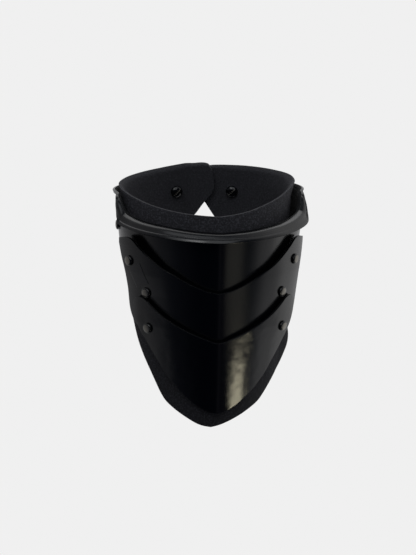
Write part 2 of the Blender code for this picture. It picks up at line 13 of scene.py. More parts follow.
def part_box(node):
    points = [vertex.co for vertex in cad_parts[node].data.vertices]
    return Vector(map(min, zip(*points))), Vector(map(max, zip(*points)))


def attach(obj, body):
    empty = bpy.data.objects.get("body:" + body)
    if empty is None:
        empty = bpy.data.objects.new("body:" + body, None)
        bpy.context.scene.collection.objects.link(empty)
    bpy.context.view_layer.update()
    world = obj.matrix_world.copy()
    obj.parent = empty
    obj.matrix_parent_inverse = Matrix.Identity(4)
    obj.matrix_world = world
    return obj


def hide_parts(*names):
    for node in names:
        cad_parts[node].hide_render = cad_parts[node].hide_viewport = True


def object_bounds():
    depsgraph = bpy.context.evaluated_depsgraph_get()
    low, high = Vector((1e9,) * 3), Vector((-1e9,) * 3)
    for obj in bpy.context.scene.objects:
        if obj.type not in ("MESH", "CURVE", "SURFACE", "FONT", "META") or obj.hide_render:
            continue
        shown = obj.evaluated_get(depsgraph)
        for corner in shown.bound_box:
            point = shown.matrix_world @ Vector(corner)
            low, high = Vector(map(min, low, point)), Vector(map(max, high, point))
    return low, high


bl_info = {
    "name": "Steel Gorget",
    "version": (1, 0, 0),
    "blender": (4, 5, 0),
    "location": "View3D > Sidebar > Gorget",
    "description": "Builds the plates, liner and rivets of a steel gorget over its fixed frame",
    "category": "Add Mesh",
}

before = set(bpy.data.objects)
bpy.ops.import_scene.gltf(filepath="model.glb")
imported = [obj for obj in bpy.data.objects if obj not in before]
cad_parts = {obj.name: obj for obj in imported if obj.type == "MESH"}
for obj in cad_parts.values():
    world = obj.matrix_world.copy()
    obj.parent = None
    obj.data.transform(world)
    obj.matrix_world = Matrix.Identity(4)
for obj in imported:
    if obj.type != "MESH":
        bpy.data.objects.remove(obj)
cad_box = [[float(value) for value in corner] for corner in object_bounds()]

MM = 0.001

# Driving sizes in mm: half-width of the neck plate, distances from the middle of the neck to its front
# ridge, its widest place and its rear, and the height from the lip down to the lowest steel point.
NECK_HALF_WIDTH = 77.0
NECK_FRONT_DEPTH = 68.0
NECK_SIDE_OFFSET = 6.0
NECK_REAR_DEPTH = 62.0
PLATE_HEIGHT = 144.5
STEEL_THICKNESS = 2.0
FOAM_THICKNESS = 4.0
GAP = 0.3
RIDGE_SLOPE = 0.16
RIDGE_SOFT_WIDTH = 6.0
# Clear space at the front between a lame and the plate behind it. Each lame's widest place lies this far
# before the neck plate's, and it narrows by this much to stay close to the plate, which tapers.
LAME_CLEARANCE = 3.0
UPPER_FORWARD = 12.0
UPPER_TUCK = 1.0
LOWER_FORWARD = 27.5
LOWER_TUCK = 9.4


def plan(half, front, side, taper, z0, lean=0.0):
    """The plan of a shell in mm, which narrows by taper and leans by lean per mm below z0."""
    return {"a": half, "front": -front, "side": side, "taper": taper, "z0": z0, "lean": lean}


WALL_PLAN = plan(NECK_HALF_WIDTH, NECK_FRONT_DEPTH, NECK_SIDE_OFFSET, 0.08, -0.0625 * PLATE_HEIGHT)
LAME_STEP = STEEL_THICKNESS + LAME_CLEARANCE
UPPER_PLAN = plan(NECK_HALF_WIDTH + STEEL_THICKNESS - UPPER_TUCK, NECK_FRONT_DEPTH + LAME_STEP,
                  NECK_SIDE_OFFSET - UPPER_FORWARD, 0.10, -0.25 * PLATE_HEIGHT)
LOWER_PLAN = plan(NECK_HALF_WIDTH + 2.0 * STEEL_THICKNESS - LOWER_TUCK, NECK_FRONT_DEPTH + 2.0 * LAME_STEP,
                  NECK_SIDE_OFFSET - LOWER_FORWARD, 0.12, -0.526 * PLATE_HEIGHT, -0.02)

# Top edge of the neck plate. Columns: angle from the front, outward offset as a share of LIP_WIDTH, height
# of the free edge and of the root as shares of SIDE_HEIGHT, and how far the hem is folded down, as a share
# of HEM_HEIGHT.
LIP_WIDTH = 9.5
SIDE_HEIGHT = 19.6
HEM_HEIGHT = 2.8
LIP = [(0, 1.0, 0.0, 0.11, 1.0), (15, 1.0, 0.005, 0.14, 1.0), (30, 1.0, 0.03, 0.20, 1.0),
       (45, 0.98, 0.055, 0.24, 1.0), (56, 0.93, 0.095, 0.30, 1.0), (61.5, 0.86, 0.14, 0.37, 0.9),
       (63, 0.80, 0.19, 0.43, 0.8), (66, 0.63, 0.38, 0.59, 0.57), (70, 0.475, 0.685, 0.795, 0.36),
       (74, 0.295, 0.93, 0.91, 0.21), (78, 0.18, 0.99, 0.93, 0.14), (83, 0.265, 1.0, 0.90, 0.14),
       (91, 0.325, 0.99, 0.865, 0.14), (105, 0.305, 0.97, 0.845, 0.14), (118, 0.255, 0.93, 0.825, 0.14)]
# Where its section turns from the front's lip into the side's raised edge, in degrees.
LIP_TURN = (66.0, 80.0)
# The worked steel isn't quite even: the right end of the lip stands higher and closer to the neck, and the
# left end flares out more. Each has its ranges of angles, and of heights in mm from the lip's level.
RIGHT_LIFT = 1.8
RIGHT_LIFT_ANGLES = (38.0, 60.0)
RIGHT_LIFT_HEIGHTS = (-6.0, 2.0)
RIGHT_TUCK = 2.4
RIGHT_TUCK_ANGLES = (64.0, 76.0)
RIGHT_TUCK_HEIGHTS = (3.0, 14.0)
LEFT_SPREAD = 1.7
LEFT_SPREAD_ANGLES = (54.0, 66.0)
LEFT_SPREAD_FADE = (82.0, 70.0)
LEFT_SPREAD_HEIGHTS = (-3.0, 5.0)
# The crease down the front is sharp on the wall, and soft from this outward offset on, which is the lip.
LIP_CREASE_END = 0.2
# Lower edge of the neck plate: angle, and depth as a share of PLATE_HEIGHT.
WALL_FOOT = [(0, 0.401), (22, 0.401), (42, 0.408), (56, 0.415), (63, 0.388), (66, 0.318),
             (72, 0.228), (82, 0.159), (98, 0.121), (118, 0.097)]

# Edges of the lames. Columns: half-width as a share of the plan's, and depth as a share of PLATE_HEIGHT.
UPPER_TOP = [(0, 0.308), (0.077, 0.301), (0.141, 0.294), (0.295, 0.263), (0.449, 0.2215), (0.577, 0.187),
             (0.692, 0.1385), (0.769, 0.1005), (0.833, 0.066), (0.891, 0.0625), (0.949, 0.0795)]
UPPER_FOOT = [(0, 0.633), (0.256, 0.623), (0.487, 0.602), (0.667, 0.581), (0.782, 0.571), (0.833, 0.547),
              (0.872, 0.4845), (0.891, 0.3805), (0.91, 0.27), (0.936, 0.18), (0.949, 0.1105)]
LOWER_TOP = [(0, 0.578), (0.07, 0.574), (0.14, 0.5605), (0.321, 0.5295), (0.517, 0.4845), (0.628, 0.453),
             (0.726, 0.415), (0.796, 0.384), (0.852, 0.377), (0.894, 0.3875)]
LOWER_FOOT = [(0, 1.0), (0.133, 0.983), (0.258, 0.948), (0.363, 0.9065), (0.461, 0.858), (0.559, 0.799),
              (0.642, 0.7335), (0.719, 0.675), (0.782, 0.623), (0.845, 0.574), (0.887, 0.5225),
              (0.915, 0.4635), (0.915, 0.415)]
# The upper lame's left side is wider by this share at the ears, and by nothing at its middle: depths.
UPPER_WIDE = 0.035
WIDE_DEPTHS = (0.36, 0.104)

# Foam. Clear space behind the steel by angle: the liner lies against the plate on the left of the picture
# and at the front, and stands clear of it on the right.
FOAM_CLEAR = [(-190, 0.0), (-152, 0.0), (-118, 0.4), (20, 0.4), (40, 2.0), (60, 5.2), (75, 7.2),
              (90, 7.6), (118, 5.4), (138, 2.0), (155, 0.0), (190, 0.0)]
# Rim by angle on the left and on the right of the picture, its height as a share of RIM_HEIGHT.
RIM_HEIGHT = 34.5
RIM_LEFT = [(0, 0.435), (16, 0.45), (29, 0.48), (43, 0.535), (64, 0.64), (80, 0.71), (92, 0.74),
            (102, 0.75), (118, 0.78), (141, 0.85), (158, 0.92), (172, 0.985), (178, 1.0), (182, 0.98),
            (185.5, 0.80), (186.5, 0.60)]
RIM_RIGHT = [(0, 0.435), (8, 0.465), (15, 0.495), (30, 0.61), (49, 0.74), (61, 0.81), (76, 0.855),
             (90, 0.885), (105, 0.905), (119, 0.91), (150, 0.93), (165, 0.925), (174, 0.915), (179, 0.87),
             (183, 0.725), (185, 0.55)]
# Foot by angle, from the bib's point round to the end of each flap, its depth as a share of PLATE_HEIGHT.
FOOT_LEFT = [(0.5, 1.10), (11, 1.0865), (23, 1.0485), (32.5, 1.014), (40.5, 0.979), (45.5, 0.941),
             (49.5, 0.90), (57, 0.8165), (65, 0.7335), (71.5, 0.6575), (76, 0.5675), (82, 0.443),
             (90, 0.318), (104, 0.228), (135, 0.194), (158, 0.19), (164.5, 0.183), (167, 0.163),
             (171.5, 0.104), (179, 0.014), (184.5, -0.0415), (187, -0.09)]
FOOT_RIGHT = [(-0.5, 1.10), (9, 1.0865), (21.5, 1.055), (31, 1.024), (39, 0.993), (44, 0.955),
              (48.5, 0.9135), (57.5, 0.837), (66, 0.754), (73, 0.664), (77, 0.5675), (83, 0.443),
              (90, 0.318), (104, 0.228), (135, 0.194), (156, 0.19), (163, 0.183), (165.5, 0.163),
              (172, 0.104), (179, 0.014), (183.5, -0.0415), (185.5, -0.083)]
# Thickness of the foam row by row down from the rim, as a share of the whole.
RIM_SKIVE = (0.42, 0.62, 0.80, 0.94)
# Flare of the rim at the sides, draw-in low under the plates, inset of the left flap, lean of the bib onto
# the lower lame's plan, clearance on the right there, and sideways drift of the bib's point. Each has its
# range of angles, or of depths as shares of PLATE_HEIGHT, or of heights as shares of RIM_HEIGHT.
RIM_FLARE = 2.2
RIM_FLARE_HEIGHTS = (0.435, 0.81)
RIM_FLARE_ANGLES = (50.0, 80.0, 118.0, 148.0)
DRAW_IN = 0.6
DRAW_IN_DEPTHS = (0.208, 0.332)
FLAP_INSET = FOAM_THICKNESS + GAP + 0.25
FLAP_INSET_ANGLES = (166.0, 173.5)
BIB_DEPTHS = (0.422, 0.72)
BIB_BEHIND = STEEL_THICKNESS + 2.2
RIGHT_FLARE = 3.0
RIGHT_FLARE_ANGLES = (58.0, 74.0)
POINT_DRIFT = -4.0
POINT_DRIFT_DEPTHS = (0.817, 1.107)

# Rivets: half-distance from the middle as a share of the plan's half-width, and depth as a share of
# PLATE_HEIGHT; the upper ones sit wider on the left.
COLLAR_RIVET_ANGLE = 84.0
COLLAR_RIVET_DEPTH = 0.0485
UPPER_RIVET_L = (0.88, 0.19)
UPPER_RIVET_R = (0.828, 0.183)
MIDDLE_RIVET_L = (0.71, 0.3515)
MIDDLE_RIVET_R = (0.685, 0.35)
LOWER_RIVET = (0.76, 0.544)
RIVET_HEAD_DIAMETER = 8.4
RIVET_HEAD_HEIGHT = 2.2
RIVET_RIM_HEIGHT = 0.5
RIVET_SHANK_DIAMETER = 4.6
BACK_HEAD_DIAMETER = 6.6
BACK_RISE = 1.0
# Height of the flat underside of a rivet's head over the plate, at its middle.
SEAT = 0.35
# Where the paint on a rivet is worn through and where it is whole, as shares of the head's radius.
RIVET_WEAR = (0.45, 0.85)

# Back screws, their slots and the strip behind the flaps.
SCREW_HEAD_DIAMETER = 10.4
SCREW_HEAD_HEIGHT = 3.4
SCREW_RIM_HEIGHT = 0.4
SCREW_CLEAR = 0.5
SCREW_SHANK_DIAMETER = 4.4
NUT_DIAMETER = 7.8
NUT_HEIGHT = 1.4
SCREW_X = -0.2
SCREW_HALF_SPACING = 0.344 * NECK_HALF_WIDTH
SCREW_HEIGHT = 8.8
SLOT_WIDTH = 0.9
SLOT_TURN = -45.0
# The bar that cuts a slot: its length, its height, and how far its middle lies over the crown.
SLOT_BAR = (14.0, 3.0, 0.6)
FLAP_OUT = -2.0
STRIP_THICKNESS = 2.0
STRIP_EDGE = 0.4
STRIP_END = 11.5
STRIP_HALF_WIDTH = SCREW_HALF_SPACING + STRIP_END
STRIP_HEIGHT = 20.0

# Label patch on the upper lame: its middle (angle, and depth as a share of PLATE_HEIGHT), size and turn.
PATCH_AT = (-52.0, 0.264)
PATCH_WIDTH = 15.0
PATCH_HEIGHT = 17.2
PATCH_TURN = 25.0
# The plan's arc at the patch is tighter than its half-width by this factor.
PATCH_ARC = 1.12
FILM_RISE = 0.22
FILM_THICKNESS = 0.16
FILM_EDGE = 0.06

# The pressed seam above the hem of the lip: its distance from the hem's edge, and its width and depth.
SEAM_BEHIND = 2.3
SEAM_WIDTH = 0.40
SEAM_DEPTH = 0.22
# Slow waves in each plate's sheet.
COLLAR_WAVES = 0.05
UPPER_WAVES = 0.06
LOWER_WAVES = 0.42

# Fineness of the sheets: columns and levels of each mesh, for one half of the neck plate and of the lames
# and for one side of the foam. The neck plate has the points of its lip's section as well.
COLLAR_MESH = (130, 26, 44)
UPPER_MESH = (100, 44)
LOWER_MESH = (100, 56)
FOAM_MESH = (160, 60)
STRIP_MESH = (56, 8)
FILM_MESH = (22, 24)
# Angles over which an edge is rounded, and over which it stays sharp on a sheet and on a turned piece.
ROUNDED_OVER = 50.0
SHEET_SHARP = 42.0
TURNED_SHARP = 38.0

# The camera's aim, just under the front lip's middle, in m.
AIM = (-0.001, 0.0, -0.0545)
# Studio lights: azimuth from the front towards +X, elevation, distance in m, width and height in m,
# radiance and colour.
LIGHTS = {
    "front_fill": (-10.0, 52.0, 1.5, 2.0, 1.5, 0.95, (0.94, 0.97, 1.0)),
    "key_box": (-32.0, 44.0, 1.4, 0.28, 0.24, 4.0, (1.0, 1.0, 1.0)),
    "rear_top_box": (180.0, 60.0, 1.6, 1.9, 1.0, 0.85, (1.0, 1.0, 1.0)),
    "warm_strip": (38.0, -13.0, 1.3, 0.42, 0.42, 0.37, (1.0, 0.95, 0.82)),
    "warm_foot": (43.0, -25.0, 1.25, 0.38, 0.20, 0.22, (1.0, 0.93, 0.76)),
    "low_warm_box": (44.0, -31.0, 1.2, 0.22, 0.14, 12.5, (1.0, 0.93, 0.68)),
    "low_right_box": (66.0, -27.0, 1.2, 0.45, 0.25, 0.25, (1.0, 1.0, 1.0)),
    "low_left_box": (-74.0, -27.0, 1.2, 0.55, 0.25, 0.14, (1.0, 1.0, 1.0)),
}
# The room's walls: azimuth and the light that they give back to the plates.
WALLS = [(-180.0, (0.65, 0.65, 0.66)), (-150.0, (0.52, 0.52, 0.53)), (-112.0, (0.34, 0.34, 0.35)),
         (-90.0, (0.25, 0.25, 0.26)), (-67.0, (0.11, 0.115, 0.135)), (-50.0, (0.035, 0.04, 0.055)),
         (-28.0, (0.002, 0.005, 0.015)), (-2.0, (0.004, 0.007, 0.018)), (9.0, (0.07, 0.07, 0.085)),
         (19.0, (0.03, 0.03, 0.045)), (50.0, (0.006, 0.016, 0.03)), (57.0, (0.03, 0.045, 0.065)),
         (62.0, (0.16, 0.165, 0.18)), (69.0, (0.48, 0.48, 0.49)), (80.0, (0.50, 0.50, 0.51)),
         (92.0, (0.95, 0.95, 0.95)), (108.0, (0.80, 0.80, 0.80)), (140.0, (0.65, 0.65, 0.66)),
         (180.0, (0.65, 0.65, 0.66))]
# The ceiling's own light, and the heights in degrees between which the walls pass into it.
CEILING = (0.10, 0.11, 0.13)
CEILING_EDGE = (48.0, 80.0)


class GorgetPlates(bpy.types.PropertyGroup):
    thickness: FloatProperty(name="Sheet thickness", description="Thickness of the plates",
                             default=STEEL_THICKNESS * MM, min=0.0005, unit="LENGTH")
    rounding: FloatProperty(name="Edge rounding", description="Radius of the plates' cut edges",
                            default=0.95 * MM, min=0.0001, unit="LENGTH")
    crease: FloatProperty(name="Crease", description="Softness of the crease down the front",
                          default=2.8 * MM, min=0.0001, unit="LENGTH")
    gloss: FloatProperty(name="Paint roughness", description="Roughness of the gloss paint", default=0.22,
                         min=0.0, max=1.0, subtype="FACTOR")
    paint: FloatVectorProperty(name="Paint", description="Colour of the paint",
                               default=(0.0014, 0.0016, 0.0024), subtype="COLOR", min=0.0, max=1.0)


class GorgetLiner(bpy.types.PropertyGroup):
    thickness: FloatProperty(name="Foam thickness", description="Thickness of the foam",
                             default=FOAM_THICKNESS * MM, min=0.001, unit="LENGTH")
    rounding: FloatProperty(name="Edge rounding", description="Radius of the foam's cut edges",
                            default=0.8 * MM, min=0.0001, unit="LENGTH")
    foam: FloatVectorProperty(name="Foam", description="Colour of the foam", default=(0.024, 0.024, 0.028),
                              subtype="COLOR", min=0.0, max=1.0)
    webbing: FloatVectorProperty(name="Webbing", description="Colour of the closure behind the flaps",
                                 default=(0.012, 0.012, 0.013), subtype="COLOR", min=0.0, max=1.0)


class GorgetFittings(bpy.types.PropertyGroup):
    rivet_head: FloatProperty(name="Rivet head", description="Width of a rivet's head",
                              default=RIVET_HEAD_DIAMETER * MM, min=0.002, unit="LENGTH")
    rivet_rise: FloatProperty(name="Rivet rise", description="Height of a rivet's head",
                              default=RIVET_HEAD_HEIGHT * MM, min=0.0005, unit="LENGTH")
    screw_head: FloatProperty(name="Screw head", description="Width of a back screw's head",
                              default=SCREW_HEAD_DIAMETER * MM, min=0.002, unit="LENGTH")
    screw_rise: FloatProperty(name="Screw rise", description="Height of a back screw's head",
                              default=SCREW_HEAD_HEIGHT * MM, min=0.0005, unit="LENGTH")
    slot: FloatProperty(name="Slot", description="Width of a back screw's slot",
                        default=SLOT_WIDTH * MM, min=0.0002, unit="LENGTH")
    sides: IntProperty(name="Sides", description="Sides of each turned head", default=48, min=12, max=96)
    steel: FloatVectorProperty(name="Rivet steel", description="Colour of the rivets",
                               default=(0.20, 0.19, 0.168), subtype="COLOR", min=0.0, max=1.0)
    film: FloatVectorProperty(name="Label film", description="Colour of the bare label patch",
                              default=(0.006, 0.006, 0.0075), subtype="COLOR", min=0.0, max=1.0)


class GorgetStage(bpy.types.PropertyGroup):
    ground: FloatVectorProperty(name="Ground", description="Colour of the ground",
                                default=(0.871, 0.871, 0.871), subtype="COLOR", min=0.0, max=1.0)
    drop: FloatProperty(name="Floor drop", description="Distance of the floor below the gorget",
                        default=0.25, min=0.0, unit="LENGTH")
    distance: FloatProperty(name="Camera distance", description="Distance of the camera from its aim",
                            default=0.75, min=0.1, unit="LENGTH")
    azimuth: FloatProperty(name="Camera azimuth", description="Turn of the camera about the gorget",
                           default=math.radians(-6.5), subtype="ANGLE")
    elevation: FloatProperty(name="Camera elevation", description="Height of the camera over the level",
                             default=math.radians(18.0), subtype="ANGLE")
    roll: FloatProperty(name="Camera roll", description="Turn of the camera about its own axis",
                        default=math.radians(1.3), subtype="ANGLE")
    lens: FloatProperty(name="Lens", description="Focal length in mm on a 36 mm high sensor",
                        default=56.92, min=10.0)


def ramp(value, start, end):
    """0 at start, 1 at end and straight between them."""
    return max(0.0, min(1.0, (value - start) / (end - start)))


def soft(share):
    """A share from 0 to 1 with flat ends."""
    return share * share * (3.0 - 2.0 * share)


def ease(table, value, column=1):
    """A smooth value from a short table, by monotone cubic steps between its rows."""
    xs = [row[0] for row in table]
    ys = [row[column] for row in table]
    if value <= xs[0]:
        return ys[0]
    if value >= xs[-1]:
        return ys[-1]
    count = len(xs)
    slopes = [(ys[i + 1] - ys[i]) / (xs[i + 1] - xs[i]) for i in range(count - 1)]
    tangents = [slopes[0]]
    for i in range(1, count - 1):
        if slopes[i - 1] * slopes[i] <= 0.0:
            tangents.append(0.0)
        else:
            tangents.append(2.0 * slopes[i - 1] * slopes[i] / (slopes[i - 1] + slopes[i]))
    tangents.append(slopes[-1])
    k = max(i for i in range(count - 1) if xs[i] <= value)
    step = xs[k + 1] - xs[k]
    f = (value - xs[k]) / step
    h00 = 2 * f ** 3 - 3 * f ** 2 + 1
    h10 = f ** 3 - 2 * f ** 2 + f
    h01 = -2 * f ** 3 + 3 * f ** 2
    h11 = f ** 3 - f ** 2
    return h00 * ys[k] + h10 * step * tangents[k] + h01 * ys[k + 1] + h11 * step * tangents[k + 1]


def down(share):
    """The height in mm at a share of PLATE_HEIGHT below the lip."""
    return -share * PLATE_HEIGHT


def outline(table, wide=1.0):
    """A table of places and depths as points, its first column times wide."""
    return [(place * wide, down(depth)) for place, depth in table]


def ridge(x, crease):
    """How far the front falls back at x, the same far from the middle for any softness of the crease."""
    return RIDGE_SLOPE * (math.sqrt(x * x + crease * crease) - RIDGE_SOFT_WIDTH)


def on_plan(plan, angle, z, out=0.0, crease=RIDGE_SOFT_WIDTH):
    """A point of a shell in mm, angle in degrees from the front, moved outward by out."""
    t = math.radians(angle)
    a = plan["a"] + plan["taper"] * min(0.0, z - plan["z0"])
    front = plan["front"] + plan["lean"] * min(0.0, z - plan["z0"])

    def spot(s):
        x = a * math.sin(s)
        if math.cos(s) >= 0.0:
            back = plan["side"] - ridge(a, RIDGE_SOFT_WIDTH)
            return x, -(back - front) * math.cos(s) + ridge(x, crease) + back
        return x, plan["side"] - (NECK_REAR_DEPTH - plan["side"]) * math.cos(s)

    x, y = spot(t)
    if out:
        x0, y0 = spot(t - 0.01)
        x1, y1 = spot(t + 0.01)
        dx = x1 - x0
        dy = y1 - y0
        size = math.hypot(dx, dy)
        x += out * dy / size
        y -= out * dx / size
    return Vector((x, y, z))


def angle_at(plan, x, z):
    """The angle of a shell at half-width x."""
    a = plan["a"] + plan["taper"] * min(0.0, z - plan["z0"])
    return math.degrees(math.asin(max(-1.0, min(1.0, x / a))))


def normal_at(plan, angle, z):
    """The outward direction of a shell."""
    base = on_plan(plan, angle, z)
    side = on_plan(plan, angle + 0.5, z) - on_plan(plan, angle - 0.5, z)
    up = on_plan(plan, angle, z + 0.5) - on_plan(plan, angle, z - 0.5)
    direction = side.cross(up).normalized()
    outward = base - Vector((0.0, 0.0, z))
    return direction if direction.dot(outward) > 0.0 else -direction


def bent(points, count):
    """Evenly spaced points along a chain of two-number corners, smoothed by Catmull-Rom steps."""
    fine = []
    last = len(points) - 1
    for i in range(last):
        p0 = points[max(i - 1, 0)]
        p1 = points[i]
        p2 = points[i + 1]
        p3 = points[min(i + 2, last)]
        for j in range(24):
            f = j / 24.0
            fine.append(tuple(
                0.5 * (2 * p1[k] + (p2[k] - p0[k]) * f + (2 * p0[k] - 5 * p1[k] + 4 * p2[k] - p3[k]) * f * f
                       + (3 * p1[k] - p0[k] - 3 * p2[k] + p3[k]) * f ** 3) for k in (0, 1)))
    fine.append(tuple(points[last]))
    lengths = [0.0]
    for i in range(len(fine) - 1):
        lengths.append(lengths[-1] + math.hypot(fine[i + 1][0] - fine[i][0], fine[i + 1][1] - fine[i][1]))
    result = []
    k = 0
    for j in range(count + 1):
        goal = lengths[-1] * j / count
        while k < len(fine) - 2 and lengths[k + 1] < goal:
            k += 1
        span = lengths[k + 1] - lengths[k]
        f = (goal - lengths[k]) / span if span > 0.0 else 0.0
        result.append((fine[k][0] + f * (fine[k + 1][0] - fine[k][0]),
                       fine[k][1] + f * (fine[k + 1][1] - fine[k][1])))
    return result


def flowing(points, count):
    """Evenly spaced points along a chain of two-number corners, smoothed without any overshoot."""
    table = [(0.0, *points[0])]
    for before, after in zip(points, points[1:]):
        table.append((table[-1][0] + math.hypot(after[0] - before[0], after[1] - before[1]), *after))
    steps = [table[-1][0] * k / count for k in range(count + 1)]
    return [(ease(table, at, 1), ease(table, at, 2)) for at in steps]


def mesh_object(name, bm, material):
    """A new object in the scene from a finished bmesh, which is freed."""
    mesh = bpy.data.meshes.new(name)
    bm.to_mesh(mesh)
    bm.free()
    obj = bpy.data.objects.new(name, mesh)
    bpy.context.scene.collection.objects.link(obj)
    mesh.materials.append(material)
    return obj


def sheet(name, rows, material):
    """An object from rows of points in mm, each row running left to right, rows from foot to top."""
    bm = bmesh.new()
    made = [[bm.verts.new(point * MM) for point in row] for row in rows]
    for lower, upper in zip(made, made[1:]):
        for i in range(len(lower) - 1):
            bm.faces.new((lower[i], lower[i + 1], upper[i + 1], upper[i]))
    return mesh_object(name, bm, material)


def apply_modifiers(obj):
    """Replace an object's mesh by what its modifiers make of it."""
    graph = bpy.context.evaluated_depsgraph_get()
    made = bpy.data.meshes.new_from_object(obj.evaluated_get(graph))
    old = obj.data
    obj.modifiers.clear()
    obj.data = made
    bpy.data.meshes.remove(old)


def smooth(obj, sharp):
    """Smooth shading, except at edges over an angle in degrees."""
    for polygon in obj.data.polygons:
        polygon.use_smooth = True
    obj.data.set_sharp_from_angle(angle=math.radians(sharp))


def thicken(obj, thickness, rounding, segments=4):
    """Thickness inward, rounded cut edges and smooth shading; a "thick" group thins parts of the sheet."""
    solid = obj.modifiers.new("Solidify", "SOLIDIFY")
    if "thick" in obj.vertex_groups:
        solid.vertex_group = "thick"
    solid.thickness = thickness
    solid.offset = -1.0
    solid.use_quality_normals = True
    edge = obj.modifiers.new("Bevel", "BEVEL")
    edge.width = rounding
    edge.segments = segments
    edge.limit_method = "ANGLE"
    edge.angle_limit = math.radians(ROUNDED_OVER)
    apply_modifiers(obj)
    smooth(obj, SHEET_SHARP)


def turned(name, profile, sides, material):
    """A solid turned about its own Z from a profile of (radius, z) in mm, top to bottom."""
    bm = bmesh.new()
    chain = [bm.verts.new((radius * MM, 0.0, z * MM)) for radius, z in profile]
    for first, second in zip(chain, chain[1:]):
        bm.edges.new((first, second))
    obj = mesh_object(name, bm, material)
    screw = obj.modifiers.new("Screw", "SCREW")
    screw.axis = "Z"
    screw.steps = sides
    screw.render_steps = sides
    screw.use_merge_vertices = True
    screw.merge_threshold = 0.00002
    apply_modifiers(obj)
    return obj


def place(obj, point, direction):
    """Set an object's mesh at a point in mm with its own +Z along a direction."""
    turn = direction.to_track_quat("Z", "Y")
    obj.data.transform(Matrix.LocRotScale(point * MM, turn, None))


def finish_piece(obj, node):
    """Hang a piece on the root body and hide the part of the frame that it stands for."""
    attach(obj, "root")
    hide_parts(node)


def add_node(tree, kind, at, **values):
    """A shader node at a place of the editor, with some of its settings."""
    made = tree.nodes.new(kind)
    made.location = at
    for key, value in values.items():
        setattr(made, key, value)
    return made


def new_group(name, inputs, outputs):
    """An empty shader node group with its named sockets, and its two end nodes."""
    group = bpy.data.node_groups.new(name, "ShaderNodeTree")
    for label, kind, value in inputs:
        socket = group.interface.new_socket(label, in_out="INPUT", socket_type=kind)
        socket.default_value = value
    for label, kind in outputs:
        group.interface.new_socket(label, in_out="OUTPUT", socket_type=kind)
    return (group, add_node(group, "NodeGroupInput", (-1200, 0)),
            add_node(group, "NodeGroupOutput", (700, 0)))


def noise(tree, vector, scale, detail, at):
    """A noise of so many bumps a millimetre."""
    made = add_node(tree, "ShaderNodeTexNoise", at)
    made.inputs["Scale"].default_value = scale
    made.inputs["Detail"].default_value = detail
    tree.links.new(vector, made.inputs["Vector"])
    return made.outputs["Fac"]


def maths(tree, operation, first, second, at, third=0.0):
    """A math node on two sockets or numbers, and a third number to add where the operation has one."""
    made = add_node(tree, "ShaderNodeMath", at, operation=operation)
    made.inputs[2].default_value = third
    for socket, value in zip(made.inputs, (first, second)):
        if isinstance(value, (int, float)):
            socket.default_value = value
        else:
            tree.links.new(value, socket)
    return made.outputs[0]


def millimetres(tree):
    """Object coordinates in millimetres."""
    where = add_node(tree, "ShaderNodeTexCoord", (-1200, -300))
    scale = add_node(tree, "ShaderNodeVectorMath", (-1000, -300), operation="SCALE")
    scale.inputs["Scale"].default_value = 1000.0
    tree.links.new(where.outputs["Object"], scale.inputs[0])
    return scale.outputs[0]


def step_between(tree, value, low, high, at, kind="SMOOTHSTEP", least=0.0):
    """From least where a value is low up to 1 where it is high, by an S or a LINEAR slope."""
    made = add_node(tree, "ShaderNodeMapRange", at, interpolation_type=kind)
    made.inputs["From Min"].default_value = low
    made.inputs["From Max"].default_value = high
    made.inputs["To Min"].default_value = least
    tree.links.new(value, made.inputs["Value"])
    return made.outputs[0]


def bump(tree, height, at):
    """A bump node whose height is in millimetres."""
    made = add_node(tree, "ShaderNodeBump", at)
    made.inputs["Distance"].default_value = MM
    tree.links.new(height, made.inputs["Height"])
    return made.outputs["Normal"]


def mix_colour(tree, factor, first, second, at):
    """A colour between two, by a factor."""
    made = add_node(tree, "ShaderNodeMix", at, data_type="RGBA")
    tree.links.new(factor, made.inputs["Factor"])
    tree.links.new(first, made.inputs["A"])
    tree.links.new(second, made.inputs["B"])
    return made.outputs["Result"]


def outwardness(tree, vector):
    """1 where the surface faces away from the middle of the neck, -1 where it faces towards it."""
    facing = add_node(tree, "ShaderNodeTexCoord", (-1400, -760))
    flat = add_node(tree, "ShaderNodeVectorMath", (-1200, -660), operation="MULTIPLY")
    flat.inputs[1].default_value = (1.0, 1.0, 0.0)
    tree.links.new(vector, flat.inputs[0])
    away = add_node(tree, "ShaderNodeVectorMath", (-1000, -660), operation="NORMALIZE")
    tree.links.new(flat.outputs[0], away.inputs[0])
    both = add_node(tree, "ShaderNodeVectorMath", (-820, -760), operation="DOT_PRODUCT")
    tree.links.new(away.outputs[0], both.inputs[0])
    tree.links.new(facing.outputs["Normal"], both.inputs[1])
    return both.outputs["Value"]


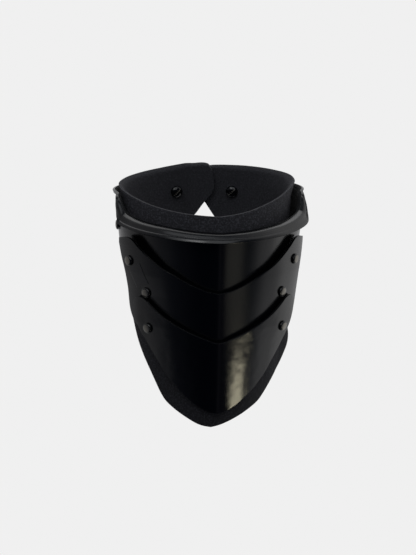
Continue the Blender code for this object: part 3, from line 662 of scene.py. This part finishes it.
def painted_sheet_group():
    """Paint on hand-worked sheet: slow waves of the sheet, fine skin of the paint, and dust specks."""
    group, ins, outs = new_group(
        "Painted sheet",
        [("Colour", "NodeSocketColor", (0.01, 0.01, 0.01, 1.0)),
         ("Roughness", "NodeSocketFloat", 0.25), ("Waves", "NodeSocketFloat", 0.05),
         ("Skin", "NodeSocketFloat", 0.002), ("Dust", "NodeSocketFloat", 0.5),
         ("Matt inside", "NodeSocketFloat", 0.0), ("Seam depth", "NodeSocketFloat", 0.0)],
        [("Colour", "NodeSocketColor"), ("Roughness", "NodeSocketFloat"), ("Normal", "NodeSocketVector")])
    vector = millimetres(group)
    dents = maths(group, "MULTIPLY", noise(group, vector, 0.12, 1.0, (-1000, 500)), 0.35, (-760, 500))
    sheet_form = maths(group, "ADD", noise(group, vector, 0.055, 1.0, (-1000, 300)), dents, (-660, 400))
    waves = maths(group, "MULTIPLY", sheet_form, ins.outputs["Waves"], (-520, 300))
    skin = maths(group, "MULTIPLY", noise(group, vector, 0.9, 2.0, (-800, 60)), ins.outputs["Skin"],
                 (-560, 60))
    seam = add_node(group, "ShaderNodeAttribute", (-1000, 760), attribute_name="seam")
    groove = maths(group, "MULTIPLY", seam.outputs["Fac"], ins.outputs["Seam depth"], (-760, 700))
    relief = maths(group, "SUBTRACT", maths(group, "ADD", waves, skin, (-360, 200)), groove, (-260, 320))
    group.links.new(bump(group, relief, (-160, 200)), outs.inputs["Normal"])
    patches = noise(group, vector, 0.03, 3.0, (-800, -180))
    spread = maths(group, "MULTIPLY_ADD", patches, 0.24, (-560, -180), 0.88)
    gloss = maths(group, "MULTIPLY", spread, ins.outputs["Roughness"], (-360, -120))
    inward = maths(group, "MULTIPLY", outwardness(group, vector), -1.0, (-560, -760))
    inner = step_between(group, inward, 0.02, 0.25, (-360, -760))
    matt = maths(group, "MULTIPLY", inner, ins.outputs["Matt inside"], (-160, -760))
    group.links.new(maths(group, "MAXIMUM", gloss, matt, (60, -120)), outs.inputs["Roughness"])
    specks = add_node(group, "ShaderNodeTexVoronoi", (-800, -420))
    specks.inputs["Scale"].default_value = 0.11
    group.links.new(vector, specks.inputs["Vector"])
    near = maths(group, "LESS_THAN", specks.outputs["Distance"], 0.028, (-560, -400))
    chosen = add_node(group, "ShaderNodeSeparateColor", (-560, -560))
    group.links.new(specks.outputs["Color"], chosen.inputs[0])
    few = maths(group, "GREATER_THAN", chosen.outputs[0], 0.6, (-360, -560))
    mask = maths(group, "MULTIPLY", maths(group, "MULTIPLY", near, few, (-180, -460)),
                 ins.outputs["Dust"], (0, -400))
    grey = add_node(group, "ShaderNodeRGB", (0, -620))
    grey.outputs[0].default_value = (0.10, 0.10, 0.105, 1.0)
    group.links.new(mix_colour(group, mask, ins.outputs["Colour"], grey.outputs[0], (240, -300)),
                    outs.inputs["Colour"])
    return group


def grain_group():
    """Fine cells of foam or cloth on its outer side, smoother inside, and painted shade: the colour darker
    low down, by a given share.
    """
    group, ins, outs = new_group(
        "Fine grain",
        [("Colour", "NodeSocketColor", (0.02, 0.02, 0.02, 1.0)),
         ("Speckle", "NodeSocketColor", (0.04, 0.04, 0.04, 1.0)),
         ("Cells", "NodeSocketFloat", 1.0), ("Depth", "NodeSocketFloat", 0.1),
         ("Foot", "NodeSocketFloat", 0.0)],
        [("Colour", "NodeSocketColor"), ("Roughness", "NodeSocketFloat"), ("Normal", "NodeSocketVector")])
    vector = millimetres(group)
    scaled = add_node(group, "ShaderNodeVectorMath", (-820, -60), operation="SCALE")
    group.links.new(vector, scaled.inputs[0])
    group.links.new(ins.outputs["Cells"], scaled.inputs["Scale"])
    fine = noise(group, scaled.outputs[0], 1.0, 4.0, (-600, 200))
    cells = add_node(group, "ShaderNodeTexVoronoi", (-600, -60))
    cells.inputs["Scale"].default_value = 1.4
    group.links.new(scaled.outputs[0], cells.inputs["Vector"])
    height = maths(group, "MULTIPLY", maths(group, "ADD", fine, cells.outputs["Distance"], (-380, 100)),
                   ins.outputs["Depth"], (-180, 100))
    group.links.new(bump(group, height, (60, 100)), outs.inputs["Normal"])
    contrast = step_between(group, fine, 0.48, 0.64, (-380, -200), "LINEAR")
    skin = step_between(group, outwardness(group, vector), -0.2, 0.2, (-600, -700), "LINEAR", 0.35)
    speckle = maths(group, "MULTIPLY", contrast, skin, (-180, -260))
    mixed = mix_colour(group, speckle, ins.outputs["Colour"], ins.outputs["Speckle"], (-20, -200))
    split = add_node(group, "ShaderNodeSeparateXYZ", (-600, -960))
    group.links.new(vector, split.inputs[0])
    # Painted shade: the colour darkens from 30 mm to 95 mm down, where the lames above block the light.
    low = step_between(group, split.outputs["Z"], -30.0, -95.0, (-380, -960))
    painted_shade_share = maths(group, "MULTIPLY", low, ins.outputs["Foot"], (-180, -900))
    keep = maths(group, "SUBTRACT", 1.0, painted_shade_share, (0, -900))
    shade = add_node(group, "ShaderNodeVectorMath", (240, -300), operation="SCALE")
    group.links.new(mixed, shade.inputs[0])
    group.links.new(keep, shade.inputs["Scale"])
    group.links.new(shade.outputs[0], outs.inputs["Colour"])
    group.links.new(maths(group, "MULTIPLY_ADD", fine, 0.15, (-100, -420), 0.72), outs.inputs["Roughness"])
    return group


def new_material(name, group, values, sockets=()):
    """A Principled material fed by a group with its own values, and constants on the shader's sockets."""
    material = bpy.data.materials.new(name)
    material.use_nodes = True
    tree = material.node_tree
    shader = tree.nodes["Principled BSDF"]
    made = add_node(tree, "ShaderNodeGroup", (-400, 200), node_tree=group)
    for label, value in values.items():
        made.inputs[label].default_value = value
    tree.links.new(made.outputs["Colour"], shader.inputs["Base Color"])
    tree.links.new(made.outputs["Roughness"], shader.inputs["Roughness"])
    tree.links.new(made.outputs["Normal"], shader.inputs["Normal"])
    for label, value in dict(sockets).items():
        shader.inputs[label].default_value = value
    return material


def shared_group(name, make):
    """A node group made once."""
    return bpy.data.node_groups.get(name) or make()


def painted(name, colour, sockets=(), **values):
    """A material of painted sheet, free of dust unless it is given some."""
    return new_material(name, shared_group("Painted sheet", painted_sheet_group),
                        {"Colour": (*colour, 1.0), "Dust": 0.0, **values}, sockets)


def grained(name, colour, gain, sockets=(), **values):
    """A material of fine grain, its speckle gain times as bright as its colour."""
    speckle = tuple(gain * value for value in colour)
    return new_material(name, shared_group("Fine grain", grain_group),
                        {"Colour": (*colour, 1.0), "Speckle": (*speckle, 1.0), **values}, sockets)


def paint_material(name, settings, waves):
    """Gloss black paint on one plate."""
    return painted(name, settings.paint, Roughness=settings.gloss, Waves=waves, Skin=0.0025, Dust=0.5,
                   **{"Matt inside": 0.95, "Seam depth": SEAM_DEPTH})


def lip_section(angle):
    """The neck plate above its wall at an angle: (outward offset, height) from the wall to the hem.

    Three points run up the wall to the knee, two make the shoulder, one the top face, two its rolled edge,
    and the last is the foot of the hem.
    """
    out = ease(LIP, angle, 1) * LIP_WIDTH
    edge = ease(LIP, angle, 2) * SIDE_HEIGHT
    root = ease(LIP, angle, 3) * SIDE_HEIGHT
    fold = ease(LIP, angle, 4)
    hem = fold * HEM_HEIGHT
    side = soft(ramp(angle, *LIP_TURN))
    low = WALL_PLAN["z0"] + (root + 2.0) * 0.32 * side
    knee = root - 3.6 - 4.0 * side
    return [(0.0, low), (0.02, low + 0.5 * (knee - low)), (0.05, knee),
            (0.60 - 0.10 * side, root - 1.5 - 1.2 * side), (0.20 * out + 0.1, root - 0.35 - 0.4 * side),
            (0.55 * out, root + 0.30 * (edge - root)), (out - 0.5 - 0.8 * fold, edge + 0.15 - 0.75 * fold),
            (out - 0.2 - 0.5 * fold, edge - 0.02 - 0.95 * fold), (out + 0.45, edge - hem)]


def wall_rows(columns, levels, profile, crease):
    """The neck plate as rows of points from the foot to the hem, with its uneven ends."""
    foot = bent(outline(WALL_FOOT), columns)
    last = LIP[-1][0]
    heads = []
    for j in range(columns + 1):
        f = j / columns
        heads.append(last * (0.86 * f + 0.14 * f * f) if f < 1.0 else last)
    sections = [flowing(lip_section(angle), profile) for angle in heads]
    half = []
    for i in range(levels):
        f = i / levels
        row = []
        for j in range(columns + 1):
            angle = foot[j][0] + (heads[j] - foot[j][0]) * f
            z = foot[j][1] + (sections[j][0][1] - foot[j][1]) * f
            row.append(on_plan(WALL_PLAN, angle, z, 0.0, crease))
        half.append(row)
    for i in range(profile + 1):
        half.append([on_plan(WALL_PLAN, heads[j], sections[j][i][1], sections[j][i][0],
                             crease if sections[j][i][0] < LIP_CREASE_END else RIDGE_SOFT_WIDTH)
                     for j in range(columns + 1)])
    rows = []
    for row in half:
        left = []
        for j in range(len(row) - 1, 0, -1):
            spread = LEFT_SPREAD * soft(ramp(heads[j], *LEFT_SPREAD_ANGLES))
            spread *= soft(ramp(heads[j], *LEFT_SPREAD_FADE)) * ramp(row[j].z, *LEFT_SPREAD_HEIGHTS)
            left.append(Vector((-row[j].x - spread, row[j].y, row[j].z)))
        right = [point.copy() for point in row]
        for j, point in enumerate(right):
            lift = ramp(heads[j], *RIGHT_LIFT_ANGLES) * ramp(point.z, *RIGHT_LIFT_HEIGHTS)
            point.z += RIGHT_LIFT * lift
            tuck = soft(ramp(heads[j], *RIGHT_TUCK_ANGLES)) * ramp(point.z, *RIGHT_TUCK_HEIGHTS)
            point.x -= RIGHT_TUCK * tuck
        rows.append(left + right)
    return rows


def lame_rows(plan, top, foot, columns, levels, crease, wide_left=0.0):
    """A lame as rows of points from the foot to the top edge, its left side wider by a share."""
    head = bent(outline(top, plan["a"]), columns)
    base = bent(outline(foot, plan["a"]), columns)
    rows = []
    for i in range(levels + 1):
        f = i / levels
        row = []
        for j in range(columns + 1):
            x = base[j][0] + (head[j][0] - base[j][0]) * f
            z = base[j][1] + (head[j][1] - base[j][1]) * f
            row.append(on_plan(plan, angle_at(plan, x, z), z, 0.0, crease))
        other = []
        for point in reversed(row[1:]):
            share = wide_left * ear(point.z)
            other.append(Vector((-point.x * (1.0 + share), point.y, point.z)))
        rows.append(other + row)
    return rows


def ear(z):
    """How near a height is to the upper lame's ears, from 0 at its middle to 1."""
    low, high = WIDE_DEPTHS
    return ramp(z, down(low), down(high))


def foam_point(angle, z):
    """A point of the foam's outer face; the flap on the left of the picture passes inside the other."""
    sign = -1.0 if angle < 0.0 else 1.0
    turned_by = abs(angle)
    offset = -STEEL_THICKNESS - ease(FOAM_CLEAR, angle)
    begin, full, fade, end = RIM_FLARE_ANGLES
    sides = ramp(turned_by, begin, full) * ramp(turned_by, end, fade)
    low, high = RIM_FLARE_HEIGHTS
    offset += RIM_FLARE * sides * (max(0.0, z / RIM_HEIGHT - low) / (high - low)) ** 1.6
    depth = -z / PLATE_HEIGHT
    offset -= DRAW_IN * ramp(depth, *DRAW_IN_DEPTHS)
    if angle < 0.0:
        offset -= FLAP_INSET * soft(ramp(turned_by, *FLAP_INSET_ANGLES))
    point = on_plan(WALL_PLAN, angle, z, offset)
    clear = RIGHT_FLARE * ramp(angle, *RIGHT_FLARE_ANGLES)
    bib = on_plan(LOWER_PLAN, sign * min(89.0, turned_by), z, clear - BIB_BEHIND)
    point = point.lerp(bib, soft(ramp(depth, *BIB_DEPTHS)))
    point.x += POINT_DRIFT * ramp(depth, *POINT_DRIFT_DEPTHS) ** 2
    return point


def foam_rows(columns, levels):
    """The whole liner from the end of one flap round the front to the end of the other."""
    base_left = bent(outline(FOOT_LEFT), columns)
    base_right = bent(outline(FOOT_RIGHT), columns)
    rows = []
    for i in range(levels + 1):
        f = i / levels
        row = []
        for sign, base, rim in ((-1.0, base_left, RIM_LEFT), (1.0, base_right, RIM_RIGHT)):
            part = []
            for j in range(columns + 1):
                head = rim[-1][0] * j / columns
                angle = base[j][0] + (head - base[j][0]) * f
                top = ease(rim, head) * RIM_HEIGHT
                z = base[j][1] + (top - base[j][1]) * f
                part.append(foam_point(sign * angle, z))
            if sign < 0.0:
                row.extend(reversed(part))
            else:
                row.extend(part[1:])
        rows.append(row)
    return rows


def rear_point(x, z, out):
    """A point near the rear of the neck at half-distance x, and the outward direction there."""
    angle = 180.0 - math.degrees(math.asin(max(-1.0, min(1.0, x / WALL_PLAN["a"]))))
    return on_plan(WALL_PLAN, angle, z, out), normal_at(WALL_PLAN, angle, z)


def side_point(plan, spot, sign, wide_left=0.0):
    """A point of a lame's outer face and its outward direction at a place of shares."""
    z = down(spot[1])
    share = 0.0
    if sign < 0.0:
        share = wide_left * ear(z)
    angle = angle_at(plan, spot[0] * plan["a"] / (1.0 + share), z)
    point = on_plan(plan, sign * angle, z)
    point.x *= 1.0 + share
    return point, normal_at(plan, sign * angle, z)


def dome(width, rise, steps, lip):
    """A low dome's profile in mm from its middle to its rim, which stands up by lip."""
    points = []
    for k in range(steps + 1):
        t = math.radians(90.0) * k / steps
        points.append((width / 2.0 * math.sin(t), lip + (rise - lip) * math.cos(t) ** 0.8))
    return points


class GORGET_OT_neck_plate(bpy.types.Operator):
    """Build the collar plate with its flared lip and raised sides"""
    bl_idname = "gorget.neck_plate"
    bl_label = "Neck Plate"

    def execute(self, context):
        settings = context.scene.gorget_plates
        material = paint_material("Collar paint", settings, COLLAR_WAVES)
        rows = wall_rows(*COLLAR_MESH, settings.crease / MM)
        obj = sheet("neck_plate_sheet", rows, material)
        seam = obj.data.attributes.new("seam", "FLOAT", "POINT")
        for i, row in enumerate(rows):
            for j in range(len(row)):
                behind = (rows[-1][j] - row[j]).length
                seam.data[i * len(row) + j].value = math.exp(-((behind - SEAM_BEHIND) / SEAM_WIDTH) ** 2)
        thicken(obj, settings.thickness, settings.rounding)
        finish_piece(obj, "neck_plate")
        return {"FINISHED"}


class GORGET_OT_lames(bpy.types.Operator):
    """Build the two curved plates under the collar"""
    bl_idname = "gorget.lames"
    bl_label = "Lames"

    def execute(self, context):
        settings = context.scene.gorget_plates
        crease = settings.crease / MM
        upper = lame_rows(UPPER_PLAN, UPPER_TOP, UPPER_FOOT, *UPPER_MESH, crease, UPPER_WIDE)
        lower = lame_rows(LOWER_PLAN, LOWER_TOP, LOWER_FOOT, *LOWER_MESH, crease)
        for which, rows, waves in (("upper", upper, UPPER_WAVES), ("lower", lower, LOWER_WAVES)):
            material = paint_material(which.capitalize() + " lame paint", settings, waves)
            obj = sheet(which + "_lame_sheet", rows, material)
            thicken(obj, settings.thickness, settings.rounding)
            finish_piece(obj, which + "_lame")
        return {"FINISHED"}


class GORGET_OT_liner(bpy.types.Operator):
    """Build the foam liner with its rim, flaps and bib"""
    bl_idname = "gorget.liner"
    bl_label = "Foam Liner"

    def execute(self, context):
        settings = context.scene.gorget_liner
        # The foam gets painted shade low down, its colour up to 45% darker over the bib.
        material = grained("Closed-cell foam", settings.foam, 2.6, {"Specular IOR Level": 0.3}, Cells=0.8,
                           Depth=0.14, Foot=0.45)
        rows = foam_rows(*FOAM_MESH)
        obj = sheet("foam_liner_sheet", rows, material)
        thick = obj.vertex_groups.new(name="thick")
        wide = len(rows[0])
        for k, share in enumerate(RIM_SKIVE):
            start = (len(rows) - 1 - k) * wide
            thick.add(list(range(start, start + wide)), share, "REPLACE")
        thick.add(list(range((len(rows) - len(RIM_SKIVE)) * wide)), 1.0, "REPLACE")
        thicken(obj, settings.thickness, settings.rounding)
        finish_piece(obj, "foam_liner")
        return {"FINISHED"}


class GORGET_OT_closure(bpy.types.Operator):
    """Build the plain strip of webbing behind the flaps"""
    bl_idname = "gorget.closure"
    bl_label = "Back Closure"

    def execute(self, context):
        settings = context.scene.gorget_liner
        material = grained("Webbing", settings.webbing, 1.8, Cells=1.6, Depth=0.18)
        columns, levels = STRIP_MESH
        rows = []
        for i in range(levels + 1):
            z = SCREW_HEIGHT + STRIP_HEIGHT * (i / levels - 0.5)
            row = []
            for j in range(columns + 1):
                x = SCREW_X + STRIP_HALF_WIDTH - 2.0 * STRIP_HALF_WIDTH * j / columns
                row.append(rear_point(x, z, FLAP_OUT + GAP + STRIP_THICKNESS)[0])
            rows.append(row)
        obj = sheet("back_closure_strip", rows, material)
        thicken(obj, STRIP_THICKNESS * MM, STRIP_EDGE * MM, 2)
        finish_piece(obj, "back_closure")
        return {"FINISHED"}


class GORGET_OT_rivets(bpy.types.Operator):
    """Build the eight domed rivets of the plates"""
    bl_idname = "gorget.rivets"
    bl_label = "Rivets"

    def execute(self, context):
        settings = context.scene.gorget_fittings
        material = self.worn_paint(context, settings)
        level = down(COLLAR_RIVET_DEPTH)
        for side, sign in (("l", -1.0), ("r", 1.0)):
            angle = sign * COLLAR_RIVET_ANGLE
            self.build("collar_rivet_" + side, on_plan(WALL_PLAN, angle, level),
                       normal_at(WALL_PLAN, angle, level), settings, material)
            upper = UPPER_RIVET_L if sign < 0.0 else UPPER_RIVET_R
            middle = MIDDLE_RIVET_L if sign < 0.0 else MIDDLE_RIVET_R
            for row, plan, spot, wide in (("upper", UPPER_PLAN, upper, UPPER_WIDE),
                                          ("middle", UPPER_PLAN, middle, UPPER_WIDE),
                                          ("lower", LOWER_PLAN, LOWER_RIVET, 0.0)):
                point, direction = side_point(plan, spot, sign, wide)
                self.build(row + "_rivet_" + side, point, direction, settings, material)
        return {"FINISHED"}

    def worn_paint(self, context, settings):
        """Black paint on the rims, rubbed to dull steel on the crowns by the "worn" attribute."""
        material = painted("Worn rivet paint", context.scene.gorget_plates.paint, Roughness=0.24,
                           Waves=0.05, Skin=0.02)
        tree = material.node_tree
        shader = tree.nodes["Principled BSDF"]
        paint = tree.nodes["Group"]
        worn = add_node(tree, "ShaderNodeAttribute", (-1200, -200), attribute_name="worn")
        patches = noise(tree, millimetres(tree), 0.9, 3.0, (-800, -400))
        wear = maths(tree, "ADD", worn.outputs["Fac"], patches, (-600, -300))
        rubbed = step_between(tree, wear, 0.62, 0.98, (-400, -300), "LINEAR")
        steel = add_node(tree, "ShaderNodeRGB", (-400, -600))
        steel.outputs[0].default_value = (*settings.steel, 1.0)
        tree.links.new(mix_colour(tree, rubbed, paint.outputs["Colour"], steel.outputs[0], (-150, -200)),
                       shader.inputs["Base Color"])
        tree.links.new(rubbed, shader.inputs["Metallic"])
        tree.links.new(maths(tree, "MULTIPLY_ADD", rubbed, 0.10, (-150, -420), 0.24),
                       shader.inputs["Roughness"])
        return material

    def build(self, name, point, direction, settings, material):
        """One rivet, its hidden back head a little short of the frame's own."""
        head = settings.rivet_head / MM
        low, high = (Vector(corner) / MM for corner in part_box(name))
        depth = (point - (low + high) / 2.0).dot(direction) * 2.0
        profile = dome(head, settings.rivet_rise / MM, 12, RIVET_RIM_HEIGHT)
        shank = RIVET_SHANK_DIAMETER / 2.0
        back = BACK_HEAD_DIAMETER / 2.0
        profile += [(head / 2.0, 0.0), (shank, 0.0), (shank, -depth), (back, -depth),
                    (back, -depth - BACK_RISE), (0.0, -depth - BACK_RISE)]
        obj = turned(name + "_cap", profile, settings.sides, material)
        smooth(obj, TURNED_SHARP)
        worn = obj.data.attributes.new("worn", "FLOAT", "POINT")
        for vertex in obj.data.vertices:
            off = math.hypot(vertex.co.x, vertex.co.y) / (settings.rivet_head / 2.0)
            worn.data[vertex.index].value = 1.0 - ramp(off, *RIVET_WEAR)
        place(obj, point + direction * SEAT, direction)
        finish_piece(obj, name)


class GORGET_OT_back_screws(bpy.types.Operator):
    """Build the two slotted domes inside the flaps"""
    bl_idname = "gorget.back_screws"
    bl_label = "Back Screws"

    def execute(self, context):
        settings = context.scene.gorget_fittings
        material = painted("Screw enamel", context.scene.gorget_plates.paint, Roughness=0.12, Waves=0.0,
                           Skin=0.002)
        bare = painted("Screw slot steel", settings.steel, {"Metallic": 0.85}, Roughness=0.5, Waves=0.0,
                       Skin=0.01)
        for side, sign in (("l", -1.0), ("r", 1.0)):
            name = "back_screw_" + side
            outer, direction = rear_point(SCREW_X + sign * SCREW_HALF_SPACING, SCREW_HEIGHT, FLAP_OUT)
            inward = -direction
            sunk = FOAM_THICKNESS + GAP + SCREW_CLEAR
            back = -sunk - STRIP_THICKNESS - 3.0 * GAP
            rise = settings.screw_rise / MM
            head = settings.screw_head / MM
            profile = dome(head, rise, 14, SCREW_RIM_HEIGHT)
            shank = SCREW_SHANK_DIAMETER / 2.0
            nut = NUT_DIAMETER / 2.0
            profile += [(head / 2.0, 0.0), (shank, 0.0), (shank, back), (nut, back),
                        (nut, back - NUT_HEIGHT), (0.0, back - NUT_HEIGHT)]
            obj = turned(name + "_dome", profile, settings.sides, material)
            slot = self.slot(settings.slot, rise, bare)
            cut = obj.modifiers.new("Slot", "BOOLEAN")
            cut.object = slot
            cut.material_mode = "TRANSFER"
            apply_modifiers(obj)
            bpy.data.objects.remove(slot)
            smooth(obj, TURNED_SHARP)
            place(obj, outer + inward * sunk, inward)
            finish_piece(obj, name)
        return {"FINISHED"}

    def slot(self, width, rise, material):
        """The cutter of a screw's slot, a bar turned about the screw's axis, for a crown rise mm high."""
        length, height, over = SLOT_BAR
        bm = bmesh.new()
        bmesh.ops.create_cube(bm, size=1.0)
        bmesh.ops.scale(bm, vec=(width, length * MM, height * MM), verts=bm.verts)
        bmesh.ops.rotate(bm, matrix=Matrix.Rotation(math.radians(SLOT_TURN), 3, "Z"), verts=bm.verts)
        bmesh.ops.translate(bm, vec=(0.0, 0.0, (rise + over) * MM), verts=bm.verts)
        return mesh_object("slot", bm, material)


class GORGET_OT_label_patch(bpy.types.Operator):
    """Build the thin bare patch on the upper lame"""
    bl_idname = "gorget.label_patch"
    bl_label = "Label Patch"

    def execute(self, context):
        settings = context.scene.gorget_fittings
        material = painted("Label film", settings.film, Roughness=0.34, Waves=0.03, Skin=0.004)
        turn = math.radians(PATCH_TURN)
        columns, levels = FILM_MESH
        rows = []
        for i in range(levels + 1):
            v = PATCH_HEIGHT * (i / levels - 0.5)
            row = []
            for j in range(columns + 1):
                u = PATCH_WIDTH * (j / columns - 0.5)
                along = u * math.cos(turn) - v * math.sin(turn)
                z = down(PATCH_AT[1]) + u * math.sin(turn) + v * math.cos(turn)
                angle = PATCH_AT[0] + math.degrees(along / UPPER_PLAN["a"]) * PATCH_ARC
                point = on_plan(UPPER_PLAN, angle, z, FILM_RISE)
                point.x *= 1.0 + UPPER_WIDE * ear(z)
                row.append(point)
            rows.append(row)
        obj = sheet("label_patch_film", rows, material)
        thicken(obj, FILM_THICKNESS * MM, FILM_EDGE * MM, 2)
        finish_piece(obj, "label_patch")
        return {"FINISHED"}


class GORGET_OT_stage(bpy.types.Operator):
    """Build the pale floor, the soft lights and the camera"""
    bl_idname = "gorget.stage"
    bl_label = "Stage"

    def execute(self, context):
        settings = context.scene.gorget_stage
        context.scene.view_settings.view_transform = "Standard"
        self.floor(settings)
        self.world(context, settings)
        target = Vector(AIM)
        for name, values in LIGHTS.items():
            self.light(name, target, *values)
        data = bpy.data.cameras.new("camera")
        data.sensor_fit = "VERTICAL"
        data.sensor_height = 36.0
        data.lens = settings.lens
        data.clip_start = 0.01
        camera = bpy.data.objects.new("camera", data)
        context.scene.collection.objects.link(camera)
        camera.matrix_world = (Matrix.Rotation(settings.azimuth, 4, "Z") @ Matrix.Translation(target)
                               @ Matrix.Rotation(math.radians(90.0) - settings.elevation, 4, "X")
                               @ Matrix.Rotation(settings.roll, 4, "Z")
                               @ Matrix.Translation((0.0, 0.0, settings.distance)))
        context.scene.camera = camera
        return {"FINISHED"}

    def floor(self, settings):
        """A plain floor of the ground's colour, well below the gorget."""
        bm = bmesh.new()
        bmesh.ops.create_grid(bm, x_segments=1, y_segments=1, size=40.0)
        bmesh.ops.translate(bm, vec=(0.0, 0.0, cad_box[0][2] - settings.drop), verts=bm.verts)
        material = bpy.data.materials.new("Pale ground")
        material.use_nodes = True
        shader = material.node_tree.nodes["Principled BSDF"]
        shader.inputs["Base Color"].default_value = (0.0, 0.0, 0.0, 1.0)
        shader.inputs["Specular IOR Level"].default_value = 0.0
        shader.inputs["Emission Color"].default_value = (*settings.ground, 1.0)
        shader.inputs["Emission Strength"].default_value = 1.0
        floor = mesh_object("floor", bm, material)
        floor.visible_glossy = False
        floor.visible_diffuse = False

    def world(self, context, settings):
        """The ground's colour behind the gorget, and a room with a dark front in its reflections."""
        world = bpy.data.worlds.new("Studio")
        context.scene.world = world
        world.use_nodes = True
        tree = world.node_tree
        tree.nodes.clear()
        rays = add_node(tree, "ShaderNodeLightPath", (-600, 400))
        seen = add_node(tree, "ShaderNodeBackground", (-300, 300))
        seen.inputs["Color"].default_value = (*settings.ground, 1.0)
        where = add_node(tree, "ShaderNodeTexCoord", (-1800, 0))
        split = add_node(tree, "ShaderNodeSeparateXYZ", (-1600, 0))
        tree.links.new(where.outputs["Generated"], split.inputs[0])
        back = maths(tree, "MULTIPLY", split.outputs["Y"], -1.0, (-1400, -100))
        turn = maths(tree, "ARCTAN2", split.outputs["X"], back, (-1200, 0))
        share = maths(tree, "MULTIPLY_ADD", turn, 0.5 / math.pi, (-1000, 0), 0.5)
        walls = add_node(tree, "ShaderNodeValToRGB", (-800, 0))
        walls.color_ramp.interpolation = "EASE"
        walls.color_ramp.elements.remove(walls.color_ramp.elements[1])
        for k, (azimuth, colour) in enumerate(WALLS):
            at = azimuth / 360.0 + 0.5
            stop = walls.color_ramp.elements[0] if k == 0 else walls.color_ramp.elements.new(at)
            stop.position = at
            stop.color = (*colour, 1.0)
        tree.links.new(share, walls.inputs["Fac"])
        begin, full = (math.sin(math.radians(height)) for height in CEILING_EDGE)
        high = step_between(tree, split.outputs["Z"], begin, full, (-800, -300))
        ceiling = add_node(tree, "ShaderNodeRGB", (-800, -600))
        ceiling.outputs[0].default_value = (*CEILING, 1.0)
        room = add_node(tree, "ShaderNodeBackground", (-300, -100))
        tree.links.new(mix_colour(tree, high, walls.outputs["Color"], ceiling.outputs[0], (-500, -100)),
                       room.inputs["Color"])
        mix = add_node(tree, "ShaderNodeMixShader", (0, 0))
        out = add_node(tree, "ShaderNodeOutputWorld", (200, 0))
        tree.links.new(rays.outputs["Is Camera Ray"], mix.inputs["Fac"])
        tree.links.new(room.outputs[0], mix.inputs[1])
        tree.links.new(seen.outputs[0], mix.inputs[2])
        tree.links.new(mix.outputs[0], out.inputs["Surface"])

    def light(self, name, target, azimuth, elevation, distance, wide, high, radiance, colour):
        """One soft box that faces the gorget."""
        turn = math.radians(azimuth)
        lift = math.radians(elevation)
        away = Vector((math.sin(turn) * math.cos(lift), -math.cos(turn) * math.cos(lift), math.sin(lift)))
        data = bpy.data.lights.new(name, "AREA")
        data.shape = "RECTANGLE"
        data.size = wide
        data.size_y = high
        data.energy = radiance * math.pi * wide * high
        data.color = colour
        obj = bpy.data.objects.new(name, data)
        bpy.context.scene.collection.objects.link(obj)
        obj.location = target + away * distance
        obj.rotation_mode = "QUATERNION"
        obj.rotation_quaternion = away.to_track_quat("Z", "Y")
        obj.visible_camera = False


STEPS = (GORGET_OT_neck_plate, GORGET_OT_lames, GORGET_OT_liner, GORGET_OT_closure, GORGET_OT_rivets,
         GORGET_OT_back_screws, GORGET_OT_label_patch, GORGET_OT_stage)
GROUPS = {"gorget_plates": GorgetPlates, "gorget_liner": GorgetLiner, "gorget_fittings": GorgetFittings,
          "gorget_stage": GorgetStage}


class GORGET_PT_panel(bpy.types.Panel):
    """Sizes, colours and steps of the gorget"""
    bl_idname = "GORGET_PT_panel"
    bl_label = "Steel Gorget"
    bl_space_type = "VIEW_3D"
    bl_region_type = "UI"
    bl_category = "Gorget"

    def draw(self, context):
        layout = self.layout
        for name, group in GROUPS.items():
            box = layout.box()
            for field in group.__annotations__:
                box.prop(getattr(context.scene, name), field)
        for step in STEPS:
            layout.operator(step.bl_idname)


def register():
    for cls in (*GROUPS.values(), *STEPS, GORGET_PT_panel):
        bpy.utils.register_class(cls)
    for name, group in GROUPS.items():
        setattr(bpy.types.Scene, name, PointerProperty(type=group))


def unregister():
    for name in GROUPS:
        delattr(bpy.types.Scene, name)
    for cls in (GORGET_PT_panel, *reversed(STEPS), *reversed(tuple(GROUPS.values()))):
        bpy.utils.unregister_class(cls)


def main():
    """Build everything in order."""
    register()
    bpy.ops.gorget.neck_plate()
    bpy.ops.gorget.lames()
    bpy.ops.gorget.liner()
    bpy.ops.gorget.closure()
    bpy.ops.gorget.rivets()
    bpy.ops.gorget.back_screws()
    bpy.ops.gorget.label_patch()
    bpy.ops.gorget.stage()


if __name__ == "__main__":
    main()
